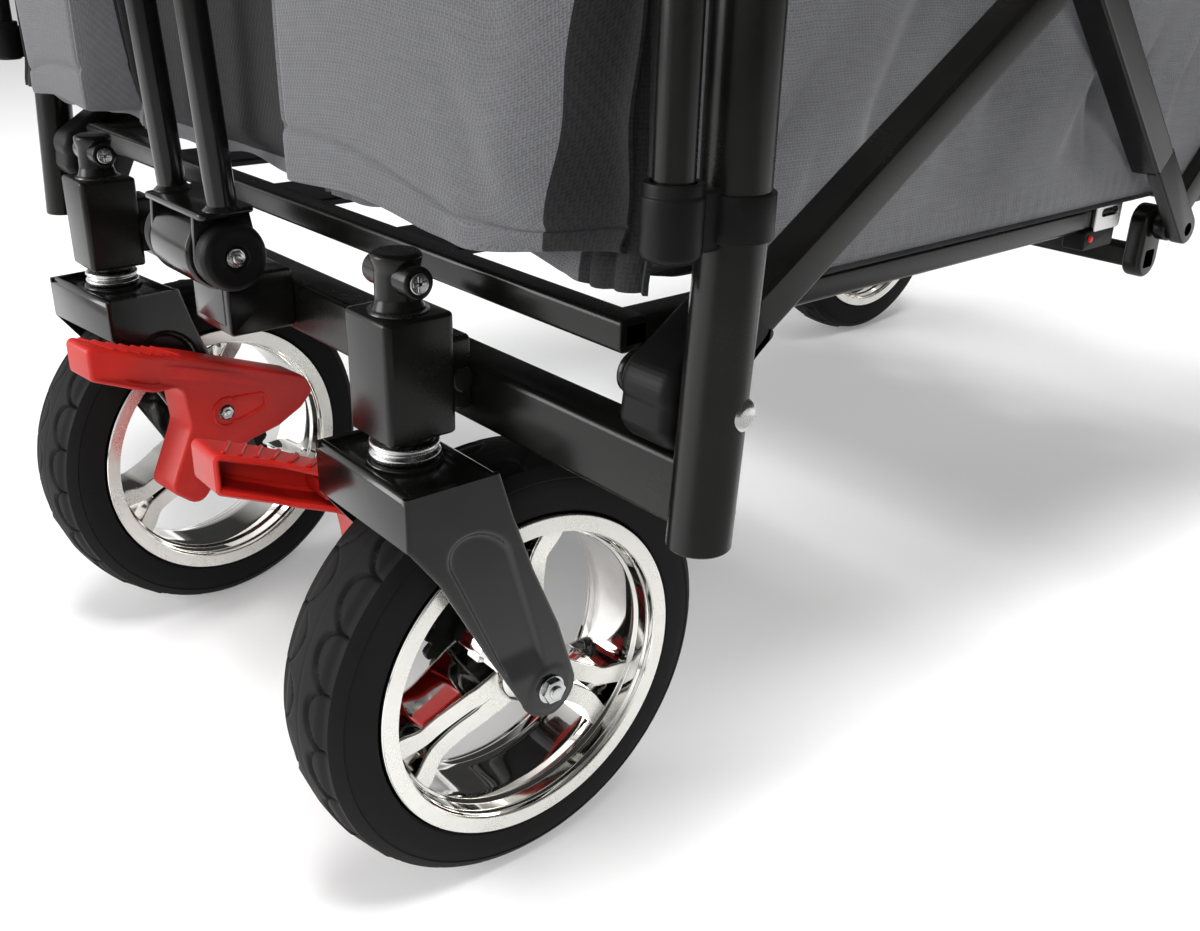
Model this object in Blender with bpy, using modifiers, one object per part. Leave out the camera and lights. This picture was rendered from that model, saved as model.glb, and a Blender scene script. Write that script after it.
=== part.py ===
"""Folding wagon with a fabric tub, two swivel casters with foot brakes and a fold-up pull handle.

Metres, +Z up, the front of the wagon towards -Y. Sizes are written from the plane of the two
caster stems (Y = 0), and one empty moves the whole wagon so that the origin is on the ground
under the middle of its box.
"""
import math

import bmesh
import bpy
from mathutils import Matrix, Vector

# Front wheels and casters
tyre_radius = 0.100
tyre_half_width = 0.023
tyre_shoulder = 0.012
rim_radius = 0.0762
rim_half_width = 0.025
rim_wall = 0.0080
rim_step = 0.0040
hub_radius = 0.015
hub_half_width = 0.023
spoke_width = 0.006
spoke_slot = 0.007
spoke_depth = 0.020
axle_radius = 0.004
bore_clearance = 0.0003
nut_radius = 0.0065
nut_height = 0.005
caster_half_track = 0.151
caster_trail = 0.045
swivel_right = math.radians(1.3)
swivel_left = math.radians(-5.65)
crown_width = 0.070
crown_front = 0.021
crown_back = 0.021
crown_top = 0.208
crown_drop = 0.022
fork_sheet = 0.003
fork_tip_radius = 0.014
stem_radius = 0.007
ring_radius = 0.014
ring_height = 0.0080
housing_size = 0.030
housing_gap = 0.0030
housing_height = 0.048
housing_chamfer = 0.0025
housing_neck = 0.020
stem_cap_radius = 0.0098
stem_cap_height = 0.022
boss_radius = 0.006
boss_reach = 0.015

# Rear wheels
rear_tyre_radius = 0.115
rear_wheel_lag = 0.0654
rear_wheel_offset = 0.043
rear_rim_radius = 0.0876
rear_shaft_radius = 0.006
rear_shoulder = 0.003
rear_end_play = 0.001
rear_leg_inset = 0.067
rear_leg_size = 0.018
rear_leg_tip = 0.016
rear_leg_top = 0.013

# Front and rear frames
post_radius = 0.0105
post_wall = 0.0015
post_half_width = 0.289
post_bottom = 0.2195
post_bottom_y = 0.022
post_y = 0.028
post_straight_from = 0.320
hoop_height = 0.870
hoop_corner = 0.040
crossbar_size = 0.020
crossbar_front = 0.025
crossbar_bottom = 0.2205
push_bend_height = 0.840
push_reach = 0.075
push_height = 0.965
push_corner = 0.050
grip_radius = 0.016
grip_length = 0.300

# Side linkage, two crossed bars per bay and two bays per side
pivot_height = 0.265
cross_y = 0.245
cross_height = 0.4055
mid_y = 0.3913
slider_height = 0.614
arm_size = 0.015
arm_gap = 0.001
arm_end_radius = 0.0075
pin_radius = 0.004
lap_length = 0.037
lap_gap = 0.001
pin_head_radius = 0.0075
pin_head_height = 0.003
pin_head_gap = 0.0003
dome_radius = 0.006
dome_height = 0.0015
foot_reach = 0.037
foot_wall = 0.0030
foot_length = 0.034
foot_lobe_drop = 0.008
foot_lobe_radius = 0.012
slider_gap = 0.0008
slider_height_half = 0.014
slider_depth = 0.020

# Floor
floor_pivot_y = 0.058
floor_pivot_height = 0.2745
hinge_stud_radius = 0.003
bracket_reach = 0.0422
bracket_sheet = 0.004
bracket_radius = 0.008
floor_bar_front = 0.028
floor_bar_depth = 0.012
floor_side_gap = 0.0465
floor_rail_width = 0.014
floor_rail_height = 0.012
floor_rail_bottom = 0.2685
floor_end_gap = 0.0393
floor_slat_x = 0.110
floor_slat_width = 0.045
floor_slat_height = 0.004
board_thickness = 0.009
board_side_gap = 0.0165
board_front_y = 0.062
mid_tube_size = 0.011
mid_tube_drop = 0.0184
mid_strip_half = 0.015
mid_strip_reach = 0.200
mid_lug = 0.010
mid_end_gap = 0.0015
mid_web_x = 0.120
mid_web_half = 0.008

# Pull handle
hinge_block_width = 0.040
hinge_block_front = 0.008
hinge_block_bottom = 0.222
hinge_block_top = 0.250
handle_axis_y = -0.008
handle_axis_height = 0.262
barrel_radius = 0.017
barrel_step = 0.0015
handle_lean = math.radians(3.0)
yoke_sheet = 0.003
yoke_half_width = 0.036
yoke_front = 0.014
yoke_back = 0.016
ear_gap = 0.0006
ear_radius = 0.015
handle_bolt_radius = 0.005
knob_radius = 0.0155
knob_length = 0.010
knob_rounding = 0.003
handle_tube_radius = 0.0065
handle_tube_x = 0.026
handle_tube_wall = 0.0011
handle_tube_length = 0.520
slide_tube_radius = 0.0050
slide_tube_start = 0.030
slide_tube_reach = 0.030
bridge_gap = 0.006
bridge_height = 0.010
bridge_depth = 0.008
handle_grip_radius = 0.015
handle_grip_half = 0.062

# Brake pedals, measured in the caster's own frame
pedal_unit = 0.001
pedal_axis_y = 0.025
pedal_axis_height = 0.142
pedal_near = 0.041
pedal_far = 0.064
pad_near = 0.054
pad_far = 0.081
pad_front = 0.053
pad_top = 0.2005
pad_thickness = 0.014
pedal_wall = 0.003
pedal_stud_radius = 0.0045
pedal_stud_reach = 0.002
gear_radius = 0.026
gear_width = 0.004
gear_teeth = 16

# Canopy poles
pole_radius = 0.006
pole_y = 0.0035
pole_bottom = 0.316
bow_height = 0.900
socket_floor = 0.002
socket_radius = 0.0085
socket_height = 0.022
clamp_bottom = 0.660
clamp_height = 0.026
clamp_wall = 0.0035

# Fabric
tub_rise = 0.026
cloth = 0.0025
front_wall_y = 0.0145
front_wall_inset = 0.013
front_wall_bottom = 0.298
side_wall_inset = 0.0445
side_wall_bottom = 0.283
pocket_inner_x = 0.104
pocket_margin = 0.014
pocket_bottom = 0.306
pocket_top = 0.520
pocket_depth = 0.026
middle_pocket_half = 0.085
middle_pocket_depth = 0.009
rear_pocket_half = 0.150
rear_pocket_depth = 0.012
rear_pocket_rise = 0.030
side_fold_depth = 0.009
gap = 0.0003

foot_inner = post_half_width - foot_reach
bracket_inner = post_half_width - bracket_reach
floor_half_width = post_half_width - floor_side_gap
board_half_width = floor_half_width - board_side_gap
front_wall_half = post_half_width - front_wall_inset
pocket_outer_x = front_wall_half - pocket_margin
side_wall_x = post_half_width - side_wall_inset
rear_leg_x = post_half_width - rear_leg_inset
rear_half_track = rear_leg_x + rear_wheel_offset
arm_outer = post_half_width - post_radius - arm_gap
arm_a_mid = arm_outer - arm_size / 2
arm_b_mid = arm_a_mid - arm_size - arm_gap
arm_angle_a = math.atan2(cross_height - pivot_height, cross_y - post_y)
arm_angle_b = math.atan2(slider_height - cross_height, cross_y - post_y)
top_height = pivot_height + (mid_y - post_y) * math.tan(arm_angle_a)
low_height = slider_height - (mid_y - post_y) * math.tan(arm_angle_b)
mid_tube_height = low_height - mid_tube_drop
rear_post_y = 2 * mid_y - post_y
rear_axle_y = rear_post_y + rear_wheel_lag
floor_end_y = mid_y - floor_end_gap
tub_top = slider_height + tub_rise
axle_height = tyre_radius
floor_hinge = (floor_pivot_y, floor_pivot_height)
ear_inner = hinge_block_width / 2 + ear_gap
yoke_floor = barrel_radius + ear_gap
yoke_roof = yoke_floor + yoke_sheet
handle_tube_top = yoke_roof + handle_tube_length
slide_tube_top = handle_tube_top + slide_tube_reach
ring_bottom = crown_top + gap
housing_bottom = crown_top + ring_height + housing_gap
housing_top = housing_bottom + housing_height
tread_edge = (tyre_half_width - tyre_shoulder) * abs(math.sin(swivel_left))
front_reach = (tyre_radius - caster_trail) * math.cos(swivel_left) + tread_edge
rear_reach = rear_axle_y + rear_tyre_radius
centre_y = (rear_reach - front_reach) / 2

for old in list(bpy.data.objects):
    bpy.data.objects.remove(old, do_unlink=True)

wagon = bpy.data.collections.new("folding_wagon")
bpy.context.scene.collection.children.link(wagon)
cutters = bpy.data.collections.new("cutters")
bpy.context.scene.collection.children.link(cutters)


def material(name, colour, roughness, metallic):
    made = bpy.data.materials.new(name)
    made.use_nodes = True
    shader = made.node_tree.nodes["Principled BSDF"]
    shader.inputs["Base Color"].default_value = (*colour, 1.0)
    shader.inputs["Roughness"].default_value = roughness
    shader.inputs["Metallic"].default_value = metallic
    return made


black_paint = material("black_powder_coat", (0.030, 0.029, 0.027), 0.38, 0.0)
gloss_black = material("gloss_black_paint", (0.014, 0.014, 0.014), 0.22, 0.0)
black_plastic = material("black_plastic", (0.040, 0.040, 0.040), 0.5, 0.0)
zinc = material("zinc_plate", (0.62, 0.63, 0.62), 0.32, 1.0)
chrome = material("chrome", (0.80, 0.79, 0.75), 0.08, 1.0)
tyre_foam = material("tyre_foam", (0.028, 0.028, 0.029), 0.75, 0.0)
red_plastic = material("red_plastic", (0.50, 0.022, 0.014), 0.36, 0.0)
grey_cloth = material("grey_oxford_cloth", (0.185, 0.185, 0.20), 0.85, 0.0)
dark_cloth = material("charcoal_cloth", (0.030, 0.030, 0.033), 0.9, 0.0)
foam_grip = material("foam_grip", (0.020, 0.020, 0.020), 0.85, 0.0)


def add(name, mesh, collection=wagon):
    made = bpy.data.objects.new(name, mesh)
    collection.objects.link(made)
    return made


def mesh_from(builder, name):
    """A mesh made by one function that fills a bmesh."""
    mesh = bpy.data.meshes.new(name)
    work = bmesh.new()
    builder(work)
    work.to_mesh(mesh)
    work.free()
    return mesh


def smooth(made, angle=35.0):
    made.data.shade_smooth()
    made.data.set_sharp_from_angle(angle=math.radians(angle))


def block(name, low, high, bevel=0.0, segments=2):
    """A box between two corners, its edges rounded."""
    size = Vector(high) - Vector(low)
    centre = (Vector(high) + Vector(low)) / 2

    def build(work):
        bmesh.ops.create_cube(work, size=1.0, matrix=Matrix.Diagonal((*size, 1.0)))

    made = add(name, mesh_from(build, name))
    made.location = centre
    if bevel:
        rounding = made.modifiers.new("rounded_edges", "BEVEL")
        rounding.width = bevel
        rounding.segments = segments
        rounding.limit_method = "ANGLE"
    return made


def cylinder(name, centre, radius, length, axis="X", sides=16, end_radius=None):
    """A straight round piece whose middle is at centre."""
    turn = {
        "X": Matrix.Rotation(math.pi / 2, 4, "Y"),
        "Y": Matrix.Rotation(-math.pi / 2, 4, "X"),
        "Z": Matrix.Identity(4),
    }[axis]
    far = radius if end_radius is None else end_radius

    def build(work):
        bmesh.ops.create_cone(
            work, cap_ends=True, segments=sides, radius1=radius, radius2=far, depth=length, matrix=turn
        )

    made = add(name, mesh_from(build, name))
    made.location = centre
    smooth(made)
    return made


def turned(name, profile, centre, axis="X", steps=32):
    """A ring or a knob: a profile of (radius, height) points, screwed once round the axis."""
    mesh = bpy.data.meshes.new(name)
    points = [(radius, 0.0, height) for radius, height in profile]
    closed = profile[0][0] > 0.0
    edges = [(index, index + 1) for index in range(len(points) - 1)]
    if closed:
        edges.append((len(points) - 1, 0))
    mesh.from_pydata(points, edges, [])
    made = add(name, mesh)
    screw = made.modifiers.new("turned", "SCREW")
    screw.steps = steps
    screw.render_steps = steps
    screw.use_merge_vertices = True
    screw.merge_threshold = 0.00001
    screw.use_smooth_shade = True
    made.location = centre
    if axis == "X":
        made.rotation_euler = (0.0, math.pi / 2, 0.0)
    return made


def tube(name, points, radius, resolution=3, closed=False):
    """A round tube whose middle follows the points."""
    curve = bpy.data.curves.new(name, "CURVE")
    curve.dimensions = "3D"
    curve.bevel_depth = radius
    curve.bevel_resolution = resolution
    curve.use_fill_caps = True
    spline = curve.splines.new("POLY")
    spline.points.add(len(points) - 1)
    for target, point in zip(spline.points, points):
        target.co = (*point, 1.0)
    spline.use_cyclic_u = closed
    return as_mesh(add(name, curve))


def as_mesh(source):
    """The same object as a closed mesh, so that it can be cut and joined."""
    bpy.context.view_layer.update()
    graph = bpy.context.evaluated_depsgraph_get()
    mesh = bpy.data.meshes.new_from_object(source.evaluated_get(graph))
    work = bmesh.new()
    work.from_mesh(mesh)
    bmesh.ops.remove_doubles(work, verts=work.verts, dist=0.00001)
    bmesh.ops.recalc_face_normals(work, faces=work.faces)
    work.to_mesh(mesh)
    work.free()
    name = source.name
    place = source.matrix_world.copy()
    bpy.data.objects.remove(source, do_unlink=True)
    made = add(name, mesh)
    made.name = name
    made.matrix_world = place
    smooth(made)
    return made


def arc(centre, radius, start, end, count):
    """Points on an arc, angles in degrees."""
    angles = [math.radians(start + (end - start) * step / count) for step in range(count + 1)]
    return [(centre[0] + radius * math.cos(a), centre[1] + radius * math.sin(a)) for a in angles]


def rounded(corners, steps=3):
    """An outline whose corners, given as (u, v, radius), become arcs."""
    outline = []
    count = len(corners)
    for index, (u, v, radius) in enumerate(corners):
        here = Vector((u, v))
        before = (Vector(corners[index - 1][:2]) - here).normalized()
        after = (Vector(corners[(index + 1) % count][:2]) - here).normalized()
        if radius <= 0.0:
            outline.append((u, v))
            continue
        half = before.angle(after) / 2
        reach = radius / math.tan(half)
        middle = here + (before + after).normalized() * radius / math.sin(half)
        first = here + before * reach - middle
        last = here + after * reach - middle
        turn = first.angle_signed(last)
        for step in range(steps + 1):
            spoke = Matrix.Rotation(-turn * step / steps, 2) @ first
            outline.append(tuple(middle + spoke))
    return outline


def plate(name, outlines, x_low, x_high):
    """A flat piece in the side view: outlines of (y, z) points, the first one outside, holes after."""
    curve = bpy.data.curves.new(name, "CURVE")
    curve.dimensions = "2D"
    curve.fill_mode = "BOTH"
    curve.extrude = (x_high - x_low) / 2
    for outline in outlines:
        spline = curve.splines.new("POLY")
        spline.points.add(len(outline) - 1)
        for target, (u, v) in zip(spline.points, outline):
            target.co = (u, v, 0.0, 1.0)
        spline.use_cyclic_u = True
    made = add(name, curve)
    made.rotation_euler = (math.pi / 2, 0.0, math.pi / 2)
    made.location = ((x_low + x_high) / 2, 0.0, 0.0)
    bpy.context.view_layer.update()
    return as_mesh(made)


def hide_tool(tool, made):
    """A cutter or an operand is a guide that moves with its piece, outside the wagon's collection."""
    tool.parent = made
    tool.matrix_parent_inverse = made.matrix_basis.inverted()
    for home in list(tool.users_collection):
        home.objects.unlink(tool)
    cutters.objects.link(tool)
    tool.hide_render = True
    tool.display_type = "WIRE"
    tool.name = "tool_" + tool.name


def combine(made, tool, operation):
    change = made.modifiers.new(operation.lower(), "BOOLEAN")
    change.operation = operation
    change.solver = "EXACT"
    change.object = tool
    hide_tool(tool, made)
    return made


def cut(made, *tools):
    for tool in tools:
        combine(made, tool, "DIFFERENCE")
    return made


def fuse(made, *tools):
    for tool in tools:
        combine(made, tool, "UNION")
    return made


origin = add("wagon_origin", None)
origin.location = (0.0, -centre_y, 0.0)
bodies = {}


def body(name, place, parent=None, turn=(0.0, 0.0, 0.0)):
    """An empty on the joint axis of a moving group, placed in its parent's frame."""
    empty = add("axis_" + name, None)
    empty.location = place
    empty.rotation_euler = turn
    empty.parent = bodies[parent] if parent else origin
    bodies[name] = empty
    return empty


def attach(made, name, paint, offset=None):
    """Put a finished piece on its body. Pieces are modelled from the plane of the stems."""
    made.parent = bodies[name]
    shift = Vector(bodies[name].location) if offset is None else Vector(offset)
    made.location = Vector(made.location) - shift
    if made.type == "MESH":
        made.data.materials.clear()
        made.data.materials.append(paint)
    return made


def both(build):
    """The same piece on the right (+1) and on the left (-1)."""
    return [build(side) for side in (1, -1)]


def span(side, near, far):
    """The low and high X of something between two distances from the middle."""
    return (near, far) if side > 0 else (-far, -near)


body("front_frame", (0.0, 0.0, 0.0))


def post_pin(side, y):
    """The stud in a post that the lower side bars turn on, with its round inner head."""
    low, high = span(side, foot_inner - pin_head_gap, post_half_width)
    stud = cylinder("stud", ((low + high) / 2, y, pivot_height), pin_radius, high - low, "X", 12)
    near = foot_inner - pin_head_gap - pin_head_height
    low, high = span(side, near, foot_inner - pin_head_gap)
    head = cylinder("head", ((low + high) / 2, y, pivot_height), pin_head_radius, high - low, "X", 12)
    low, high = span(side, post_half_width, post_half_width + post_radius + dome_height)
    dome = cylinder("dome", ((low + high) / 2, y, pivot_height), dome_radius, high - low, "X", 14)
    return [stud, head, dome]


def floor_bracket(side, bar_y, hinge, reach):
    """A plate on a crossbar that carries the hinge stud of one half of the floor."""
    y, z = hinge
    lean = reach / abs(reach)
    foot = crossbar_bottom + crossbar_size / 2
    outline = [(bar_y + 0.4 * crossbar_size * lean, foot), (bar_y - 0.3 * crossbar_size * lean, foot)]
    angles = (180, 30) if lean > 0 else (0, 150)
    outline += arc((y, z), bracket_radius, *angles, 8)
    low, high = span(side, bracket_inner, bracket_inner + bracket_sheet)
    made = plate("bracket", [outline], low, high)
    low, high = span(side, floor_half_width - floor_rail_width, bracket_inner + 0.001)
    return [made, cylinder("stud", ((low + high) / 2, y, z), hinge_stud_radius, high - low, "X", 12)]


def pole_guides(side):
    """The socket at the foot of a canopy pole and the clamp that guides it, both on the post."""
    x = side * post_half_width
    bottom = pole_bottom - socket_floor
    bore = pole_radius + bore_clearance
    socket = cylinder("socket", (x, pole_y, bottom + socket_height / 2), socket_radius, socket_height, "Z")
    cut(socket, cylinder("socket_bore", (x, pole_y, pole_bottom - gap + 0.1), bore, 0.2, "Z"))
    low = (x - pole_radius / 2, pole_y + pole_radius + 0.001, bottom)
    high = (x + pole_radius / 2, post_y - post_radius / 2, bottom + socket_height)
    arm_of_socket = block("socket_arm", low, high)
    half = pole_radius + clamp_wall
    low = (x - half, pole_y - half, clamp_bottom)
    high = (x + half, post_y - post_radius / 2, clamp_bottom + clamp_height)
    clamp = block("clamp", low, high)
    cut(clamp, cylinder("clamp_bore", (x, pole_y, clamp_bottom), bore, 0.2, "Z"))
    return [socket, arm_of_socket, clamp]


def front_hoop():
    """Both posts and the top bar in one bent tube, with everything that is welded to it."""
    low = [(post_bottom_y, post_bottom), (post_y, post_straight_from)]
    bend = hoop_height - hoop_corner
    corner = arc((post_half_width - hoop_corner, bend), hoop_corner, 0, 90, 6)
    right = [(post_half_width, y, z) for y, z in low] + [(x, post_y, z) for x, z in corner]
    path = right + [(-x, y, z) for x, y, z in reversed(right)]
    hoop = tube("front_hoop", path, post_radius)
    end = post_half_width - post_radius / 2
    bar_low = (-end, crossbar_front, crossbar_bottom)
    bar_high = (end, crossbar_front + crossbar_size, crossbar_bottom + crossbar_size)
    fuse(hoop, block("front_crossbar", bar_low, bar_high))
    for side in (1, -1):
        fuse(hoop, *post_pin(side, post_y))
        fuse(hoop, *floor_bracket(side, crossbar_front + crossbar_size / 2, floor_hinge, 1.0))
        fuse(hoop, *pole_guides(side))
        x = side * post_half_width
        bore = cylinder("post_end", (x, post_bottom_y, post_bottom), post_radius - post_wall, 0.030, "Z")
        cut(hoop, bore)
    return attach(hoop, "front_frame", black_paint)


def housing(side):
    """The block that the caster's stem turns in, and the round cap with a cross boss on top."""
    half = housing_size / 2
    x = side * caster_half_track
    low = (x - half, -half, housing_bottom)
    high = (x + half, half, housing_top)
    made = block(side_name("caster_housing", side), low, high, housing_chamfer, 1)
    neck_low = (x - housing_neck / 2, 0.0, housing_bottom + 0.004)
    neck_high = (x + housing_neck / 2, crossbar_front - gap, housing_top - 0.012)
    middle = (housing_top - 0.002 + housing_top + stem_cap_height) / 2
    cap = cylinder("cap", (x, 0.0, middle), stem_cap_radius, stem_cap_height + 0.002, "Z", 20)
    height = housing_top + stem_cap_height * 0.58
    boss = cylinder("boss", (x, 0.0, height), boss_radius, 2 * boss_reach, "X", 14)
    fuse(made, block("neck", neck_low, neck_high), cap, boss)
    bore = cylinder("stem_bore", (x, 0.0, housing_top - 0.1), stem_radius + bore_clearance, 0.2, "Z")
    cut(made, bore)
    return attach(made, "front_frame", black_paint)


def side_name(name, side):
    return name + ("_right" if side > 0 else "_left")


def handle_block():
    """The block on the crossbar with the barrel that the pull handle's bolt goes through."""
    half = hinge_block_width / 2 - barrel_step
    low = (-half, -hinge_block_front, hinge_block_bottom)
    high = (half, crossbar_front - gap, hinge_block_top)
    made = block("handle_hinge_block", low, high, 0.0008, 1)
    centre = (0.0, handle_axis_y, handle_axis_height)
    fuse(made, cylinder("barrel", centre, barrel_radius, hinge_block_width, "X", 24))
    cut(made, cylinder("pivot_bore", centre, handle_bolt_radius + bore_clearance, 0.2, "X", 16))
    return attach(made, "front_frame", gloss_black)


def cloth_panel(name, place, columns, rows, depth):
    """A sheet of cloth. place(u, v) gives a point and a normal, depth(u, v) how far it stands out."""

    def build(work):
        bmesh.ops.create_grid(work, x_segments=columns, y_segments=rows, size=0.5)
        for vert in work.verts:
            u = vert.co.x + 0.5
            v = vert.co.y + 0.5
            point, normal = place(u, v)
            vert.co = Vector(point) + Vector(normal) * depth(u, v)

    made = add(name, mesh_from(build, name))
    wall = made.modifiers.new("cloth", "SOLIDIFY")
    wall.thickness = cloth
    wall.offset = 0.0
    smooth(made, 60.0)
    return made


def ease(value, low, high):
    """A soft step from 0 to 1 between two values."""
    share = min(max((value - low) / (high - low), 0.0), 1.0)
    return share * share * (3.0 - 2.0 * share)


def full_pocket(low_x, high_x, bottom, depth, face_y, outward):
    """A full pocket on an end wall: deep and round at its foot, nearly flat at its top edge."""
    back = face_y - outward * cloth / 4
    profile = [
        (back, bottom),
        (face_y + outward * depth * 0.55, bottom),
        (face_y + outward * depth * 0.90, bottom + depth * 0.35),
        (face_y + outward * depth, bottom + depth),
        (face_y + outward * depth * 0.85, (bottom + pocket_top) / 2),
        (face_y + outward * depth * 0.25, pocket_top),
        (back, pocket_top),
    ]
    return plate("pocket", [profile], low_x, high_x)


def end_wall(name, y):
    low = (-front_wall_half, y - cloth / 2, front_wall_bottom)
    return block(name, low, (front_wall_half, y + cloth / 2, tub_top))


def front_panel():
    """The tub's front wall with a full pocket on each side and a flat one between them."""
    made = end_wall("front_panel", front_wall_y)
    face = front_wall_y - cloth / 2
    for side in (1, -1):
        low, high = span(side, pocket_inner_x, pocket_outer_x)
        fuse(made, full_pocket(low, high, pocket_bottom, pocket_depth, face, -1.0))
    half = middle_pocket_half
    fuse(made, full_pocket(-half, half, pocket_bottom, middle_pocket_depth, face, -1.0))
    return attach(made, "front_frame", grey_cloth)


def side_panel(side):
    """The side of the tub hangs in soft upright folds between the posts."""
    low_y = post_y - 0.010
    high_y = rear_post_y + 0.010

    def place(u, v):
        y = low_y + (high_y - low_y) * u
        z = side_wall_bottom + (tub_top - side_wall_bottom) * v
        return (side * side_wall_x, y, z), (-side, 0.0, 0.0)

    def depth(u, v):
        ends = ease(u, 0.0, 0.06) * ease(-u, -1.0, -0.94)
        foot = ease(v, 0.02, 0.30)
        waves = 0.5 + 0.5 * math.sin(9 * math.pi * u + 1.3 * math.sin(3.1 * v + side))
        belly = math.sin(math.pi * v)
        return side_fold_depth * ends * foot * (0.45 * waves + 0.55 * belly)

    made = cloth_panel(side_name("side_panel", side), place, 24, 6, depth)
    return attach(made, "front_frame", grey_cloth)


front_hoop()
both(housing)
handle_block()
front_panel()
both(side_panel)


def fork(side):
    """Crown, two pressed side plates and the stem, in the caster's own frame."""
    half = crown_width / 2
    top = crown_top
    low = top - crown_drop
    tip_y = caster_trail
    tip_z = axle_height
    edge = [(-crown_front, top), (-crown_front, low), (-0.008, 0.167), (0.010, 0.133)]
    end = arc((tip_y, tip_z), fork_tip_radius, 190, 370, 8)
    back = [(tip_y + 0.004, 0.130), (0.037, 0.160), (0.028, low), (crown_back, top)]
    outline = edge + end + back
    name = side_name("fork", side)
    made = block(name, (-half, -crown_front, top - 0.004), (half, crown_back, top))
    skirt = block("skirt", (-half, -crown_front, low), (half, fork_sheet - crown_front, top))
    cheeks = [
        plate("cheek", [outline], half - fork_sheet, half),
        plate("cheek", [outline], -half, fork_sheet - half),
    ]
    stem_top = housing_top - 0.003
    stem_low = top - 0.002
    middle = (0.0, 0.0, (stem_top + stem_low) / 2)
    stem = cylinder("stem", middle, stem_radius, stem_top - stem_low, "Z")
    low, high = span(-side, half - fork_sheet / 2, pedal_far + pedal_stud_reach)
    spot = ((low + high) / 2, pedal_axis_y, pedal_axis_height)
    pedal_stud = cylinder("pedal_stud", spot, pedal_stud_radius, high - low, "X", 12)
    fuse(made, skirt, *cheeks, stem, pedal_stud)
    hole = (0.0, caster_trail, axle_height)
    cut(made, cylinder("axle_hole", hole, axle_radius + bore_clearance, 0.2, "X", 12))
    return attach(made, side_name("caster", side), gloss_black, (0, 0, 0))


def swivel_ring(side):
    r = ring_radius
    h = ring_height
    bore = stem_radius + bore_clearance
    profile = [(bore, h), (r * 0.8, h), (r, h * 0.62), (r, h * 0.38), (r * 0.85, 0.0), (bore, 0.0)]
    made = turned(side_name("swivel_ring", side), profile, (0.0, 0.0, ring_bottom), "Z", 16)
    return attach(made, side_name("caster", side), zinc, (0, 0, 0))


def caster_axle(side):
    """The wheel's axle, from nut to nut through both cheeks of the fork."""
    near = crown_width / 2 + gap
    spot = (0.0, caster_trail, axle_height)
    made = cylinder(side_name("caster_axle", side), spot, axle_radius, 2 * near + nut_height, "X", 12)
    for end in (1, -1):
        nut_spot = (end * (near + nut_height / 2), caster_trail, axle_height)
        fuse(made, cylinder("nut", nut_spot, nut_radius, nut_height, "X", 6))
    return attach(made, side_name("caster", side), zinc, (0, 0, 0))


def pedal(side):
    """A hollow moulding: an upright body that is open towards the wheel, with a foot pad on top."""
    inner = -side

    def outline(corners):
        return rounded([tuple(pedal_unit * number for number in corner) for corner in corners])

    body_outline = outline(
        [
            (-36, 198, 4),
            (-36, 184, 4),
            (-4, 170, 12),
            (-4, 134, 10),
            (-16, 104, 6),
            (4, 90, 8),
            (24, 120, 10),
            (50, 121, 10),
            (74, 131, 6),
            (82, 138, 6),
            (78, 150, 6),
        ]
    )
    bolt = pedal_stud_radius + bore_clearance
    hole = arc((pedal_axis_y, pedal_axis_height), bolt, 360, 30, 11)
    low, high = span(inner, pedal_near, pedal_far)
    made = plate(side_name("brake_pedal", side), [body_outline, hole], low, high)
    pad = outline(
        [
            (-pad_front / pedal_unit, pad_top / pedal_unit, 3),
            (-pad_front / pedal_unit, (pad_top - pad_thickness) / pedal_unit, 3),
            (-20, 171, 4),
            (2, 170, 3),
            (8, 178, 3),
        ]
    )
    pad_low, pad_high = span(inner, pad_near, pad_far)
    fuse(made, plate("pad", [pad], pad_low, pad_high))
    hollow = outline(
        [
            (-30, 192, 2),
            (-30, 186, 2),
            (4, 172, 3),
            (10, 160, 3),
            (66, 140, 3),
            (68, 146, 3),
            (12, 172, 3),
        ]
    )
    hollow_low, hollow_high = span(inner, pedal_near - 0.002, pedal_far - pedal_wall)
    cut(made, plate("hollow", [hollow], hollow_low, hollow_high))
    offset = (0.0, pedal_axis_y, pedal_axis_height)
    return attach(made, side_name("pedal", side), red_plastic, offset)


def wheel_rim(name, frame, outer):
    """Barrel with a flat lip, a hub and three split spokes."""
    half = rim_half_width
    inner = outer - rim_wall
    waist = inner - rim_step
    profile = [
        (outer, half),
        (outer, -half),
        (inner, -half),
        (waist, rim_step - half),
        (waist, half - rim_step),
        (inner, half),
    ]
    made = turned(name, profile, (0.0, 0.0, 0.0), "X", 32)
    tools = [cylinder("hub", (0.0, 0.0, 0.0), hub_radius, 2 * hub_half_width, "X", 20)]
    for number in range(3):
        for lean in (-1, 1):
            middle = lean * (spoke_slot + spoke_width) / 2
            low = (-spoke_depth / 2, middle - spoke_width / 2, hub_radius / 2)
            high = (spoke_depth / 2, middle + spoke_width / 2, waist + rim_wall / 4)
            spoke = block("spoke", low, high)
            turn = Matrix.Rotation(math.radians(90 + 120 * number), 4, "X")
            spoke.matrix_world = turn @ Matrix.Translation(spoke.location)
            tools.append(spoke)
    fuse(made, *tools)
    cut(made, cylinder("axle_bore", (0.0, 0.0, 0.0), axle_radius + bore_clearance, 0.2, "X", 12))
    return attach(made, frame, chrome, (0, 0, 0))


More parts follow.
